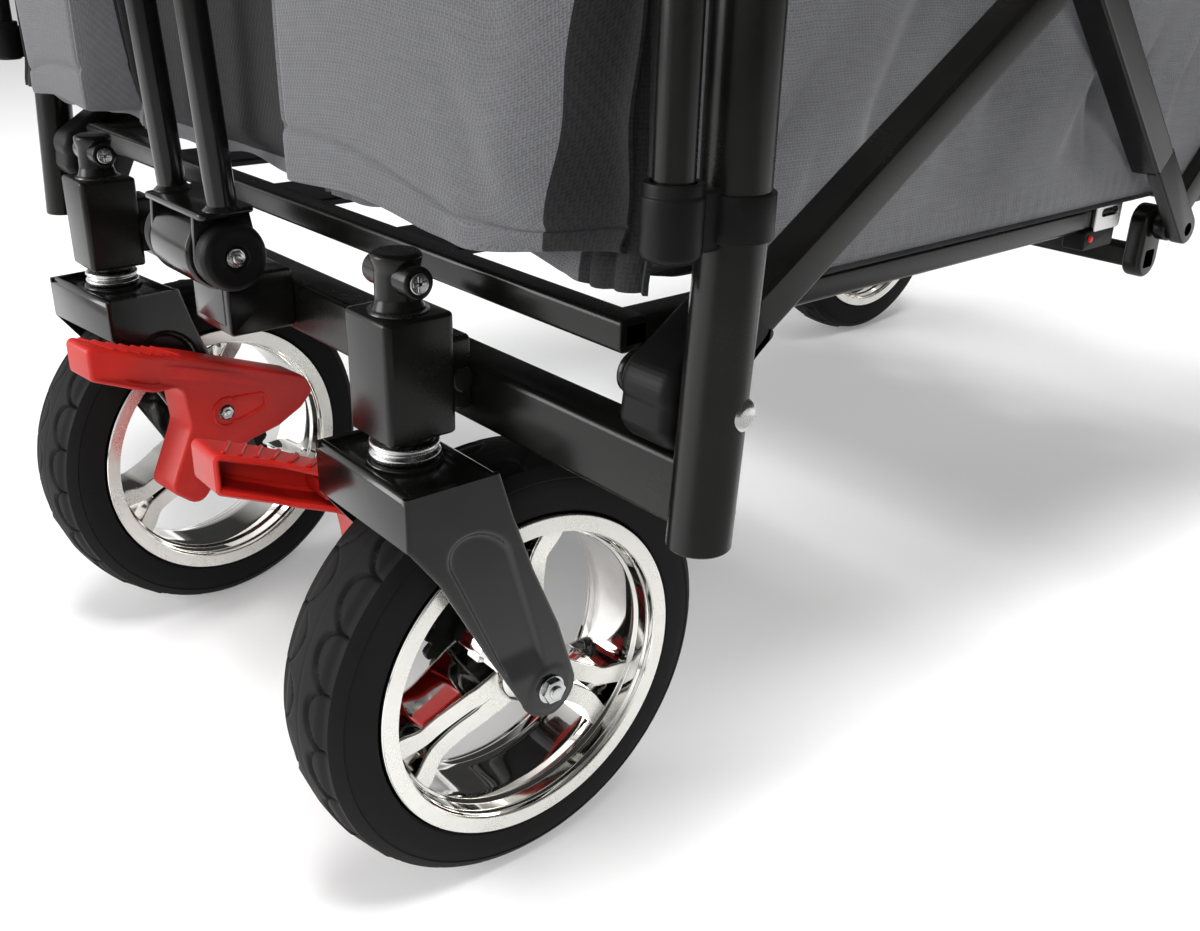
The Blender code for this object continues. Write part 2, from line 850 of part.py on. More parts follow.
def wheel_tyre(name, frame, radius, seat):
    """A solid foam tyre with rounded shoulders on the rim's seat."""
    half = tyre_half_width
    low = seat + gap
    profile = [
        (radius - 0.0065, half),
        (radius - 0.0020, half - 0.0050),
        (radius, half - tyre_shoulder),
        (radius, tyre_shoulder - half),
        (radius - 0.0020, 0.0050 - half),
        (radius - 0.0065, -half),
        (low, -half - 0.0010),
        (low, half + 0.0010),
    ]
    made = turned(name, profile, (0.0, 0.0, 0.0), "X", 32)
    return attach(made, frame, tyre_foam, (0, 0, 0))


def brake_gear(side):
    """A toothed disc on the hub, on the pedal's side, that the brake's leg locks."""
    inner = -side
    outline = []
    for tooth in range(gear_teeth):
        for share, radius in ((0.0, gear_radius - 0.004), (0.35, gear_radius), (0.60, gear_radius)):
            angle = 2 * math.pi * (tooth + share) / gear_teeth
            outline.append((radius * math.cos(angle), radius * math.sin(angle)))
    hole = arc((0.0, 0.0), axle_radius + bore_clearance, 360, 30, 11)
    start = hub_half_width + gap
    low, high = span(inner, start, start + gear_width)
    made = plate(side_name("brake_gear", side), [outline, hole], low, high)
    return attach(made, side_name("front_wheel", side), black_plastic, (0, 0, 0))


def caster(side):
    angle = swivel_right if side > 0 else swivel_left
    name = side_name("caster", side)
    body(name, (side * caster_half_track, 0.0, 0.0), None, (0.0, 0.0, -angle))
    body(side_name("front_wheel", side), (0.0, caster_trail, axle_height), name)
    body(side_name("pedal", side), (0.0, pedal_axis_y, pedal_axis_height), name)
    fork(side)
    swivel_ring(side)
    caster_axle(side)
    pedal(side)
    wheel_rim(side_name("front_rim", side), side_name("front_wheel", side), rim_radius)
    wheel_tyre(side_name("front_tyre", side), side_name("front_wheel", side), tyre_radius, rim_radius)
    brake_gear(side)


both(caster)


def handle_frame():
    """The yoke over the barrel, its two ears, and the two outer tubes welded on top of it."""
    hole = arc((0.0, 0.0), handle_bolt_radius + bore_clearance, 360, 30, 11)
    ear = [(-yoke_front, yoke_roof)] + arc((0.0, 0.0), ear_radius, 180, 360, 10)
    ear.append((yoke_back, yoke_roof))
    low = (-yoke_half_width, -yoke_front, yoke_floor)
    high = (yoke_half_width, yoke_back, yoke_roof)
    made = block("handle_frame", low, high)
    for side in (1, -1):
        fuse(made, plate("ear", [ear, hole], *span(side, ear_inner, ear_inner + yoke_sheet)))
    foot = yoke_roof - yoke_sheet / 2
    inside = handle_tube_radius - handle_tube_wall
    rim = [(inside, handle_tube_top), (handle_tube_radius, handle_tube_top)]
    profile = rim + [(handle_tube_radius, foot), (inside, foot)]
    for side in (1, -1):
        fuse(made, turned("outer_tube", profile, (side * handle_tube_x, 0.0, 0.0), "Z", 16))
    return attach(made, "pull_handle", gloss_black, (0, 0, 0))


def handle_bolt():
    """The hinge bolt between two round caps, outside the ears."""
    near = ear_inner + yoke_sheet + gap
    far = near + knob_length
    spot = (0.0, 0.0, 0.0)
    made = cylinder("handle_pivot_bolt", spot, handle_bolt_radius, 2 * near + knob_length, "X", 16)
    for end in (1, -1):
        low, high = span(end, near, far)
        knob = cylinder("knob", ((low + high) / 2, 0.0, 0.0), knob_radius, knob_length, "X", 20)
        rounding = knob.modifiers.new("rounded_edges", "BEVEL")
        rounding.width = knob_rounding
        rounding.segments = 1
        rounding.limit_method = "ANGLE"
        fuse(made, knob)
    return attach(made, "pull_handle", black_plastic, (0, 0, 0))


def handle_slide():
    """The two inner tubes and the flat bridge that ties them together under the grip."""
    low = yoke_roof + slide_tube_start
    length = slide_tube_top - low
    middle = (handle_tube_x, 0.0, low + length / 2)
    made = cylinder("handle_slide", middle, slide_tube_radius, length, "Z", 16)
    other = (-handle_tube_x, 0.0, low + length / 2)
    left = cylinder("left_tube", other, slide_tube_radius, length, "Z", 16)
    base = handle_tube_top + bridge_gap
    bridge_low = (-handle_tube_x, -bridge_depth / 2, base)
    bridge_high = (handle_tube_x, bridge_depth / 2, base + bridge_height)
    fuse(made, left, block("bridge", bridge_low, bridge_high))
    return attach(made, "handle_slide", chrome, (0, 0, 0))


def handle_grip():
    """A round grip across the tops of the inner tubes, which end in blind holes in it."""
    height = slide_tube_top + handle_grip_radius / 3
    length = 2 * handle_grip_half
    made = cylinder("handle_grip", (0.0, 0.0, height), handle_grip_radius, length, "X", 16)
    rounding = made.modifiers.new("rounded_edges", "BEVEL")
    rounding.width = handle_grip_radius / 3
    rounding.segments = 1
    rounding.limit_method = "ANGLE"
    for side in (1, -1):
        top = slide_tube_top + gap
        hole = (side * handle_tube_x, 0.0, top - 0.05)
        cut(made, cylinder("tube_hole", hole, slide_tube_radius + bore_clearance, 0.1, "Z"))
    return attach(made, "handle_slide", foam_grip, (0, 0, 0))


body("pull_handle", (0.0, handle_axis_y, handle_axis_height), None, (handle_lean, 0.0, 0.0))
body("handle_slide", (0.0, 0.0, 0.0), "pull_handle")
handle_frame()
handle_bolt()
handle_slide()
handle_grip()


def bar_outline(start, end):
    """A straight bar between two pivots in the side view, round at both ends."""
    angle = math.degrees(math.atan2(end[1] - start[1], end[0] - start[0]))
    r = arm_end_radius
    return arc(end, r, angle - 90, angle + 90, 6) + arc(start, r, angle + 90, angle + 270, 6)


def pin_hole(centre):
    return arc(centre, pin_radius + bore_clearance, 360, 30, 11)


def arm(name, frame, side, middle_x, start, cross, end, keeps_outer, shift):
    """One side bar. Its far end is halved, so that it laps the bar that it is pinned to."""
    low, high = span(side, middle_x - arm_size / 2, middle_x + arm_size / 2)
    holes = [pin_hole(start), pin_hole(cross)]
    if end == low_pin:
        holes.append(pin_hole(end))
    made = plate(side_name(name, side), [bar_outline(start, end), *holes], low, high)
    near = middle_x - arm_size
    far = middle_x + lap_gap / 2
    if not keeps_outer:
        near = middle_x - lap_gap / 2
        far = middle_x + arm_size
    low, high = span(side, near, far)
    half = lap_length / 2 + arm_size
    lap = block("lap", (low, -half, -arm_size), (high, half, arm_size))
    direction = Vector((end[0] - start[0], end[1] - start[1])).normalized()
    back = Vector(end) - direction * (half - arm_size)
    turn = Matrix.Rotation(math.atan2(direction.y, direction.x), 4, "X")
    lap.matrix_world = Matrix.Translation(((low + high) / 2, back.x, back.y)) @ turn
    cut(made, lap)
    if name == "arm_a":
        low, high = span(side, middle_x + arm_size / 4, middle_x + arm_size / 2 + pin_head_height)
        fuse(made, cylinder("top_head", ((low + high) / 2, *end), pin_head_radius, high - low, "X", 12))
    return attach(made, frame, black_paint, shift)


def flip(point):
    """The same point in the rear bay."""
    return (2 * mid_y - point[0], point[1])


foot_pin = (post_y, pivot_height)
cross_pin = (cross_y, cross_height)
top_pin = (mid_y, top_height)
slider_pin = (post_y, slider_height)
low_pin = (mid_y, low_height)


def body_at(name, point, parent=None, parent_point=None):
    """A body whose axis crosses the side view at a point."""
    base = (0.0, 0.0) if parent_point is None else parent_point
    body(name, (0.0, point[0] - base[0], point[1] - base[1]), parent)
    return (0.0, point[0], point[1])


shift_a = body_at("arms_a", foot_pin)
shift_b = body_at("arms_b", cross_pin, "arms_a", foot_pin)
shift_c = body_at("arms_c", low_pin, "arms_b", cross_pin)
shift_d = body_at("arms_d", flip(cross_pin), "arms_c", low_pin)
shift_mid = body_at("mid_cross", low_pin, "arms_b", cross_pin)
shift_front_slider = body_at("sliders_front", slider_pin, "arms_b", cross_pin)
shift_rear_slider = body_at("sliders_rear", flip(slider_pin), "arms_c", low_pin)
shift_rear = body_at("rear_frame", flip(foot_pin), "arms_d", flip(cross_pin))

for side in (1, -1):
    arm("arm_a", "arms_a", side, arm_a_mid, foot_pin, cross_pin, top_pin, True, shift_a)
    arm("arm_b", "arms_b", side, arm_b_mid, slider_pin, cross_pin, low_pin, True, shift_b)
    arm("arm_c", "arms_c", side, arm_b_mid, flip(slider_pin), flip(cross_pin), low_pin, False, shift_c)
    arm("arm_d", "arms_d", side, arm_a_mid, flip(foot_pin), flip(cross_pin), top_pin, False, shift_d)


def arm_foot(side, name, frame, start, end, shift):
    """A moulded foot round the lower end of a side bar, turning with it on the post's stud."""
    direction = Vector((end[0] - start[0], end[1] - start[1])).normalized()
    angle = math.degrees(math.atan2(direction.y, direction.x))
    across = Vector((-direction.y, direction.x))
    half = arm_size / 2 + foot_wall
    far = Vector(start) + direction * foot_length
    lobe = (start[0], start[1] - foot_lobe_drop)
    forward = 1 if direction.x > 0 else -1
    sweep = (angle + 90, 180 + 45) if forward > 0 else (angle - 90, -45)
    outline = arc(start, half, *sweep, 5)
    outline += arc(lobe, foot_lobe_radius, 180 if forward > 0 else 0, 345 if forward > 0 else -165, 8)
    outline += [tuple(far - across * half * forward), tuple(far + across * half * forward)]
    low, high = span(side, foot_inner, arm_a_mid + arm_size / 2 + gap)
    made = plate(side_name(name, side), [outline, pin_hole(start)], low, high)
    low, high = span(side, arm_a_mid - arm_size / 2 - gap, arm_a_mid + arm_size)
    reach = arm_size / 2 + gap
    channel = block("channel", (low, -reach, -reach), (high, foot_length + arm_size, reach))
    turn = Matrix.Rotation(math.radians(angle), 4, "X")
    place = Matrix.Translation((0.0, start[0], start[1]))
    channel.matrix_world = place @ turn @ Matrix.Translation(channel.location)
    cut(made, channel)
    return attach(made, frame, black_plastic, shift)


for side in (1, -1):
    arm_foot(side, "arm_foot_front", "arms_a", foot_pin, top_pin, shift_a)
    arm_foot(side, "arm_foot_rear", "arms_d", flip(foot_pin), top_pin, shift_d)


def cross_rivet(side, name, frame, point, shift):
    """The rivet where two side bars cross, flush inside and with a flat head outside."""
    low, high = span(side, arm_b_mid - arm_size / 2 - gap, arm_a_mid + arm_size / 2 + 2 * gap)
    made = cylinder(side_name(name, side), ((low + high) / 2, *point), pin_radius, high - low, "X", 12)
    start = arm_a_mid + arm_size / 2 + gap
    low, high = span(side, start, start + pin_head_height)
    fuse(made, cylinder("head", ((low + high) / 2, *point), pin_head_radius, pin_head_height, "X", 12))
    return attach(made, frame, zinc, shift)


def slider(side, name, frame, point, shift):
    """A moulded block that runs along the inside of a post, with the pin of the upper bar end."""
    y, z = point
    near = arm_b_mid + arm_size / 2 + slider_gap
    low, high = span(side, near, post_half_width - post_radius - slider_gap)
    corner_low = (low, y - slider_depth / 2, z - slider_height_half)
    corner_high = (high, y + slider_depth / 2, z + slider_height_half)
    made = block(side_name(name, side), corner_low, corner_high, 0.002, 1)
    low, high = span(side, arm_b_mid - arm_size / 2 - gap, near + slider_depth / 4)
    fuse(made, cylinder("pin", ((low + high) / 2, y, z), pin_radius, high - low, "X", 12))
    return attach(made, frame, black_plastic, shift)


for side in (1, -1):
    cross_rivet(side, "cross_rivet_front", "arms_a", cross_pin, shift_a)
    cross_rivet(side, "cross_rivet_rear", "arms_d", flip(cross_pin), shift_d)
    slider(side, "slider_front", "sliders_front", slider_pin, shift_front_slider)
    slider(side, "slider_rear", "sliders_rear", flip(slider_pin), shift_rear_slider)


def mid_cross():
    """The cross tube between the lower middle joints, with a lug and a pin at each end."""
    y, z = low_pin
    half = mid_tube_size / 2
    end = arm_b_mid - arm_size / 2 - mid_end_gap
    tube_low = (-end, y - half, mid_tube_height - half)
    tube_high = (end, y + half, mid_tube_height + half)
    made = block("mid_cross_tube", tube_low, tube_high, 0.001, 1)
    strip_low = (-mid_strip_reach, y - mid_strip_half, floor_rail_bottom + 0.002)
    strip_high = (mid_strip_reach, y + mid_strip_half, floor_rail_bottom + floor_rail_height)
    tools = [block("strip", strip_low, strip_high)]

    def lug(side):
        low, high = span(side, end - mid_lug, end)
        foot = mid_tube_height - mid_lug
        outline = [(y - mid_lug, foot), (y + mid_lug, foot)] + arc((y, z), mid_lug, 0, 180, 8)
        return plate("lug", [outline], low, high)

    def pin(side):
        low, high = span(side, end - 0.004, arm_b_mid + arm_size / 2 + gap)
        return cylinder("pin", ((low + high) / 2, y, z), pin_radius, high - low, "X", 12)

    def web(side):
        x = side * mid_web_x
        low = (x - mid_web_half, y - mid_web_half / 2, mid_tube_height)
        high = (x + mid_web_half, y + mid_web_half / 2, strip_high[2] - 0.002)
        return block("web", low, high)

    tools += both(lug) + both(pin) + both(web)
    fuse(made, *tools)
    return attach(made, "mid_cross", black_paint, shift_mid)


mid_cross()


def floor_half(name, turned_round):
    """Half of the folding floor: a bar across its end, two side rails and three flat slats."""

    def box(label, low, high):
        ends = (low[1], high[1])
        if turned_round:
            ends = (2 * mid_y - high[1], 2 * mid_y - low[1])
        return block(label, (low[0], ends[0], low[2]), (high[0], ends[1], high[2]))

    bottom = floor_rail_bottom
    top = bottom + floor_rail_height
    half = floor_half_width
    bar_back = floor_bar_front + floor_bar_depth
    made = box("floor_frame_" + name, (-half, floor_bar_front, bottom), (half, bar_back, top))
    tools = []
    for side in (1, -1):
        low, high = span(side, half - floor_rail_width, half)
        rail_low = (low, floor_bar_front + 0.002, bottom + 0.0005)
        tools.append(box("rail", rail_low, (high, floor_end_y, top - 0.0005)))
    for x in (-floor_slat_x, 0.0, floor_slat_x):
        slat_low = (x - floor_slat_width / 2, floor_bar_front + 0.004, top - floor_slat_height)
        slat_high = (x + floor_slat_width / 2, floor_end_y - 0.006, top - 0.0003)
        tools.append(box("slat", slat_low, slat_high))
    end_low = (-half + 0.002, floor_end_y - floor_bar_depth, bottom + 0.001)
    tools.append(box("end_bar", end_low, (half - 0.002, floor_end_y - 0.0005, top - 0.0008)))
    fuse(made, *tools)
    y, z = flip(floor_hinge) if turned_round else floor_hinge
    for side in (1, -1):
        spot = (side * (half - floor_rail_width / 2), y, z)
        radius = hinge_stud_radius + bore_clearance
        cut(made, cylinder("hinge_hole", spot, radius, 2 * floor_rail_width, "X", 12))
    return made


def floor_board(name, turned_round):
    """One padded board of the floor, on top of the slats."""
    ends = (board_front_y, floor_end_y)
    if turned_round:
        ends = (2 * mid_y - floor_end_y, 2 * mid_y - board_front_y)
    base = floor_rail_bottom + floor_rail_height + gap
    low = (-board_half_width, ends[0], base)
    high = (board_half_width, ends[1], base + board_thickness)
    return block("floor_board_" + name, low, high, 0.002, 1)


shift_floor = body_at("floor_front", floor_hinge)
attach(floor_half("front", False), "floor_front", black_paint, shift_floor)
attach(floor_board("front", False), "floor_front", dark_cloth, shift_floor)
shift_floor_rear = body_at("floor_rear", flip(floor_hinge), "rear_frame", flip(foot_pin))
attach(floor_half("rear", True), "floor_rear", black_paint, shift_floor_rear)
attach(floor_board("rear", True), "floor_rear", dark_cloth, shift_floor_rear)


def rear_leg(side):
    """The flat leg from the rear crossbar down to the axle."""
    start = (rear_post_y, crossbar_bottom + crossbar_size / 2)
    end = (rear_axle_y, rear_tyre_radius)
    angle = math.degrees(math.atan2(end[1] - start[1], end[0] - start[0]))
    outline = arc(end, rear_leg_tip, angle - 90, angle + 90, 6)
    outline += arc(start, rear_leg_top, angle + 90, angle + 270, 6)
    x = side * rear_leg_x
    hole = arc(end, rear_shaft_radius + bore_clearance, 360, 30, 11)
    return plate("leg", [outline, hole], x - rear_leg_size / 2, x + rear_leg_size / 2)


def rear_hoop():
    """Rear posts, bent back at the top into the push handle, with the crossbar and the axle legs."""
    y = rear_post_y
    half = post_half_width
    low = [(y, post_bottom), (y, push_bend_height), (y + 0.16 * push_reach, push_bend_height + 0.030)]
    legs = [(half, py, z) for py, z in low]
    for a, b in arc((0.0, 0.0), push_corner, 0, 90, 6):
        back = push_reach * (1.0 - 0.13 * (1.0 - b / push_corner))
        legs.append((half - push_corner + a, y + back, push_height - push_corner + b))
    path = legs + [(-x, py, z) for x, py, z in reversed(legs)]
    made = tube("rear_hoop", path, post_radius)
    end = half - post_radius / 2
    low = (-end, y - crossbar_size / 2, crossbar_bottom)
    high = (end, y + crossbar_size / 2, crossbar_bottom + crossbar_size)
    fuse(made, block("rear_crossbar", low, high), *both(rear_leg))
    for side in (1, -1):
        fuse(made, *post_pin(side, y))
        fuse(made, *floor_bracket(side, y, flip(floor_hinge), -1.0))
    return attach(made, "rear_frame", black_paint, shift_rear)


def rear_axle(side):
    """A stub axle: a head and a shank in the leg, stepped down for the wheel, and an outer nut."""
    leg_in = rear_leg_x - rear_leg_size / 2 - gap
    shoulder = rear_leg_x + rear_leg_size / 2 + rear_shoulder
    end = rear_half_track + hub_half_width + rear_end_play

    def stretch(near, far, radius, sides):
        low, high = span(side, near, far)
        spot = ((low + high) / 2, rear_axle_y, rear_tyre_radius)
        return cylinder("stretch", spot, radius, high - low, "X", sides)

    made = stretch(leg_in - rear_shoulder / 2, shoulder, rear_shaft_radius, 14)
    head = stretch(leg_in - rear_shoulder, leg_in, rear_shaft_radius * 1.5, 14)
    pin = stretch(shoulder - rear_shoulder / 2, end + nut_height / 2, axle_radius, 12)
    fuse(made, head, pin, stretch(end, end + nut_height, nut_radius, 6))
    made.name = side_name("rear_axle", side)
    return attach(made, "rear_frame", zinc, shift_rear)


def rear_panel():
    """The tub's rear wall with one wide pocket."""
    y = 2 * mid_y - front_wall_y
    made = end_wall("rear_panel", y)
    face = y + cloth / 2
    half = rear_pocket_half
    low = pocket_bottom + rear_pocket_rise
    fuse(made, full_pocket(-half, half, low, rear_pocket_depth, face, 1.0))
    return attach(made, "rear_frame", grey_cloth, shift_rear)


def push_grip():
    """A foam sleeve round the top bar of the push handle."""
    half = grip_length / 2
    inside = post_radius + gap
    profile = [
        (inside, half),
        (grip_radius - 0.002, half),
        (grip_radius, half - 0.003),
        (grip_radius, 0.003 - half),
        (grip_radius - 0.002, -half),
        (inside, -half),
    ]
    spot = (0.0, rear_post_y + push_reach, push_height)
    return attach(turned("push_grip", profile, spot, "X", 20), "rear_frame", foam_grip, shift_rear)


rear_hoop()
both(rear_axle)
rear_panel()
push_grip()


def rear_wheel(side):
    name = side_name("rear_wheel", side)
    offset = (side * rear_half_track, rear_axle_y - rear_post_y, rear_tyre_radius - pivot_height)
    body(name, offset, "rear_frame")
    wheel_rim(side_name("rear_rim", side), name, rear_rim_radius)
    wheel_tyre(side_name("rear_tyre", side), name, rear_tyre_radius, rear_rim_radius)


both(rear_wheel)


def canopy_bow():
    """Two straight poles beside the front posts, joined at the top, that slide up for a canopy."""
    corner = arc((post_half_width - hoop_corner, bow_height - hoop_corner), hoop_corner, 0, 90, 6)
    right = [(post_half_width, pole_bottom)] + corner
    path = [(x, pole_y, z) for x, z in right + [(-x, z) for x, z in reversed(right)]]
    made = tube("canopy_bow", path, pole_radius, 2)
    return attach(made, "canopy_bow", black_paint)


body("canopy_bow", (0.0, pole_y, pole_bottom))
canopy_bow()
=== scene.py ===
import math
import bmesh
import bpy
import numpy as np
from mathutils import Matrix, Vector


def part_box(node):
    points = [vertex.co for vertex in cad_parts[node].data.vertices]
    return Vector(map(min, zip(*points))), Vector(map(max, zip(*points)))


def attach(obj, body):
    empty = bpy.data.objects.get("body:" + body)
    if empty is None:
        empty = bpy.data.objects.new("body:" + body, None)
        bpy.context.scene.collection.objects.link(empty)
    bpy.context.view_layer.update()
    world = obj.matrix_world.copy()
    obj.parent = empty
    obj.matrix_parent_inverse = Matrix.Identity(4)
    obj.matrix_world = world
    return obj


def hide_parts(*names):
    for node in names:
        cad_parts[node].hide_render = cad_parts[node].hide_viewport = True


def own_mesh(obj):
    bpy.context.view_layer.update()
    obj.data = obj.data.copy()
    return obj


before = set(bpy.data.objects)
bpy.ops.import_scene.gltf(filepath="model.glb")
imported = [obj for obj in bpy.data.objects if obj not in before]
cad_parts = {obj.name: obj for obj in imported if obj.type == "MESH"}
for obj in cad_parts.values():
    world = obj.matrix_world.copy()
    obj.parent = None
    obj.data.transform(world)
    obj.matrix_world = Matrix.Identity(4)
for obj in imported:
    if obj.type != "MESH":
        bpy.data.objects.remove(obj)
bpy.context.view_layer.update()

# shapes are lists of closed shells: (points, faces) or (points, faces, flat cloth coordinates)

sideX = np.array((1.0, 0.0, 0.0))


def gridFaces(rows, cols, wrapRows=False, wrapCols=True):
    # quads between neighbouring rows and columns of a grid of points
    i = np.arange(rows if wrapRows else rows - 1)[:, None]
    j = np.arange(cols if wrapCols else cols - 1)[None, :]
    nextRow = (i + 1) % rows
    nextCol = (j + 1) % cols
    corners = (i * cols + j, i * cols + nextCol, nextRow * cols + nextCol, nextRow * cols + j)
    return np.stack(np.broadcast_arrays(*corners), -1).reshape(-1, 4).tolist()


def rings(grid, wrapRows=False):
    # a closed shell from rings of points; two flat ends close it unless the rows wrap round
    rows, cols = grid.shape[:2]
    faces = gridFaces(rows, cols, wrapRows)
    if not wrapRows:
        faces += [list(range(cols))[::-1], list(range((rows - 1) * cols, rows * cols))]
    return grid.reshape(-1, 3), faces


def slab(front, back, flat=None):
    # two sheets of points, one behind the other, closed along their four edges
    rows, cols = front.shape[:2]
    count = rows * cols
    sheet = gridFaces(rows, cols, False, False)
    rim = np.concatenate((np.arange(cols), np.arange(1, rows) * cols + cols - 1,
                          (rows - 1) * cols + np.arange(cols - 2, -1, -1), np.arange(rows - 2, 0, -1) * cols))
    after = np.roll(rim, -1)
    faces = sheet + [[a + count for a in face[::-1]] for face in sheet]
    faces += np.stack((after, rim, rim + count, after + count), -1).tolist()
    points = np.concatenate((front.reshape(-1, 3), back.reshape(-1, 3)))
    if flat is None:
        return points, faces
    flat = flat.reshape(-1, 2)
    return points, faces, np.concatenate((flat, flat))


def circle(radius, count=32):
    # an outline of points at one radius
    turn = np.linspace(0, 2 * math.pi, count, endpoint=False)
    return np.stack((radius * np.cos(turn), radius * np.sin(turn)), -1)


def arcPoints(centre, radius, start, end, count=8):
    # points at one radius between two angles in degrees
    turn = np.radians(np.linspace(start, end, count + 1))
    return np.stack((centre[0] + radius * np.cos(turn), centre[1] + radius * np.sin(turn)), -1)


def rounded(corners, radius, steps=4):
    # an outline whose corners become arcs; radius is one value or one for each corner
    corners = np.array(corners, float)
    radii = np.broadcast_to(np.array(radius, float), len(corners))
    made = []
    for here, before, after, r in zip(corners, np.roll(corners, 1, 0), np.roll(corners, -1, 0), radii):
        a = (before - here) / np.linalg.norm(before - here)
        b = (after - here) / np.linalg.norm(after - here)
        half = math.acos(np.clip(a @ b, -1, 1)) / 2
        middle = here + (a + b) / np.linalg.norm(a + b) * r / math.sin(half)
        first = here + a * r / math.tan(half) - middle
        last = here + b * r / math.tan(half) - middle
        turn = math.atan2(first[0] * last[1] - first[1] * last[0], first @ last)
        for step in np.linspace(0, turn, steps + 1):
            c, s = math.cos(step), math.sin(step)
            made.append(middle + (c * first[0] - s * first[1], s * first[0] + c * first[1]))
    return np.array(made)


def box2(width, height, radius, steps=4):
    # a rectangle about the origin with rounded corners
    w, h = width / 2, height / 2
    return rounded([(w, -h), (w, h), (-w, h), (-w, -h)], radius, steps)


def inset(outline, depth):
    # every point moves inwards along the middle of its two edges
    ahead = np.roll(outline, -1, 0) - outline
    ahead /= np.linalg.norm(ahead, axis=1)[:, None]
    behind = np.roll(ahead, 1, 0)
    area = np.sum(outline[:, 0] * np.roll(outline[:, 1], -1) - np.roll(outline[:, 0], -1) * outline[:, 1])
    normal = np.stack((-(ahead + behind)[:, 1], (ahead + behind)[:, 0]), -1) * np.sign(area)
    length = np.linalg.norm(normal, axis=1)[:, None]
    return outline + normal / np.maximum(length, 1e-9) * depth / np.maximum(length / 2, 0.5)


def onAxis(outline, height, axis):
    # a flat outline lifted into space: x carries (y, z), y carries (x, z), z carries (x, y)
    fill = np.full(len(outline), height)
    u, v = outline[:, 0], outline[:, 1]
    return np.stack({"x": (fill, u, v), "y": (u, fill, v), "z": (u, v, fill)}[axis], -1)


def prism(outline, axis, low, high, bevel=0.0, steps=3):
    # a plate or block: the outline carried from low to high, its edges rounded by shrinking rings
    if not bevel:
        return rings(np.stack((onAxis(outline, low, axis), onAxis(outline, high, axis))))
    turn = np.linspace(0, math.pi / 2, steps + 1)
    cuts = [(bevel * (1 - math.sin(t)), low + bevel * (1 - math.cos(t))) for t in turn]
    cuts += [(d, high + low - h) for d, h in reversed(cuts)]
    return rings(np.stack([onAxis(inset(outline, d), h, axis) for d, h in cuts]))


def roundedBox(low, high, corner=0.002, bevel=0.001, axis="z", steps=4):
    # a rectangle with rounded corners carried along one axis, its end edges rounded by bevel
    pick = {"x": (1, 2, 0), "y": (0, 2, 1), "z": (0, 1, 2)}[axis]
    u, v, w = pick
    outline = box2(high[u] - low[u], high[v] - low[v], corner, steps)
    outline = outline + ((high[u] + low[u]) / 2, (high[v] + low[v]) / 2)
    return prism(outline, axis, low[w], high[w], bevel, 3)


def tray(outline, axis, low, high, wall, bevel=0.001, floor=None):
    # a hollow moulding: closed at low, open at high, its wall and floor of one thickness
    floor = wall if floor is None else floor
    sign = 1 if high > low else -1
    turn = np.linspace(0, math.pi / 2, 4)
    cuts = [(bevel * (1 - math.sin(t)), low + sign * bevel * (1 - math.cos(t))) for t in turn]
    cuts += [(0.0, high - sign * bevel / 2), (bevel / 2, high), (wall - bevel / 2, high)]
    cuts += [(wall, high - sign * bevel / 2), (wall, low + sign * (floor + bevel)),
             (wall + bevel, low + sign * floor)]
    return rings(np.stack([onAxis(inset(outline, d), h, axis) for d, h in cuts]))


def turned(profile, steps=48, axis="x", centre=(0, 0, 0), closed=False, phase=0.0):
    # a profile of (radius, height) carried round an axis
    profile = np.array(profile, float)
    turn = np.linspace(0, 2 * math.pi, steps, endpoint=False) + phase
    r, h = profile[:, :1], np.broadcast_to(profile[:, 1:], (len(profile), steps))
    a, b = r * np.cos(turn), r * np.sin(turn)
    grid = np.stack({"x": (h, a, b), "y": (b, h, a), "z": (a, b, h)}[axis], -1)
    return rings(grid + np.array(centre, float), closed)


def soft(profile, radius=0.0008, steps=3):
    # the same turned profile with its inner corners rounded; the first and last points stay
    p = np.array(profile, float)
    made = [p[0]]
    for before, here, after in zip(p[:-2], p[1:-1], p[2:]):
        a, b = before - here, after - here
        la, lb = np.linalg.norm(a), np.linalg.norm(b)
        r = min(radius, la / 2.2, lb / 2.2)
        first, last = here + a / la * r, here + b / lb * r
        t = np.linspace(0, 1, steps + 1)[:, None]
        made.extend((1 - t) ** 2 * first + 2 * t * (1 - t) * here + t ** 2 * last)
    return np.array(made + [p[-1]])


def rod(radius, low, high, centre=(0.0, 0.0), axis="x", bevel=0.0006, steps=32, phase=0.0):
    # a round bar along an axis through a point of the plane across it
    profile = soft([(0, low), (radius, low), (radius, high), (0, high)], bevel)
    place = {"x": (0, *centre), "y": (centre[0], 0, centre[1]), "z": (*centre, 0)}[axis]
    return turned(profile, steps, axis, place, phase=phase)


def bent(corners, radii, steps=8):
    # a path of straight runs whose corners are arcs, in one plane of space
    c = np.array(corners, float)
    made = [c[0]]
    for before, here, after, r in zip(c[:-2], c[1:-1], c[2:], radii):
        a, b = before - here, after - here
        a, b = a / np.linalg.norm(a), b / np.linalg.norm(b)
        half = math.acos(np.clip(a @ b, -1, 1)) / 2
        reach = r / math.tan(half)
        middle = here + (a + b) / np.linalg.norm(a + b) * r / math.sin(half)
        first, last = here + a * reach - middle, here + b * reach - middle
        t = np.linspace(0, 1, steps + 1)[:, None]
        angle = math.pi - 2 * half
        made.extend(middle + (np.sin((1 - t) * angle) * first + np.sin(t * angle) * last) / math.sin(angle))
    return np.array(made + [c[-1]])


def along(path):
    # unit directions along a path
    step = np.gradient(path, axis=0)
    step[0], step[-1] = path[1] - path[0], path[-1] - path[-2]
    return step / np.linalg.norm(step, axis=1)[:, None]


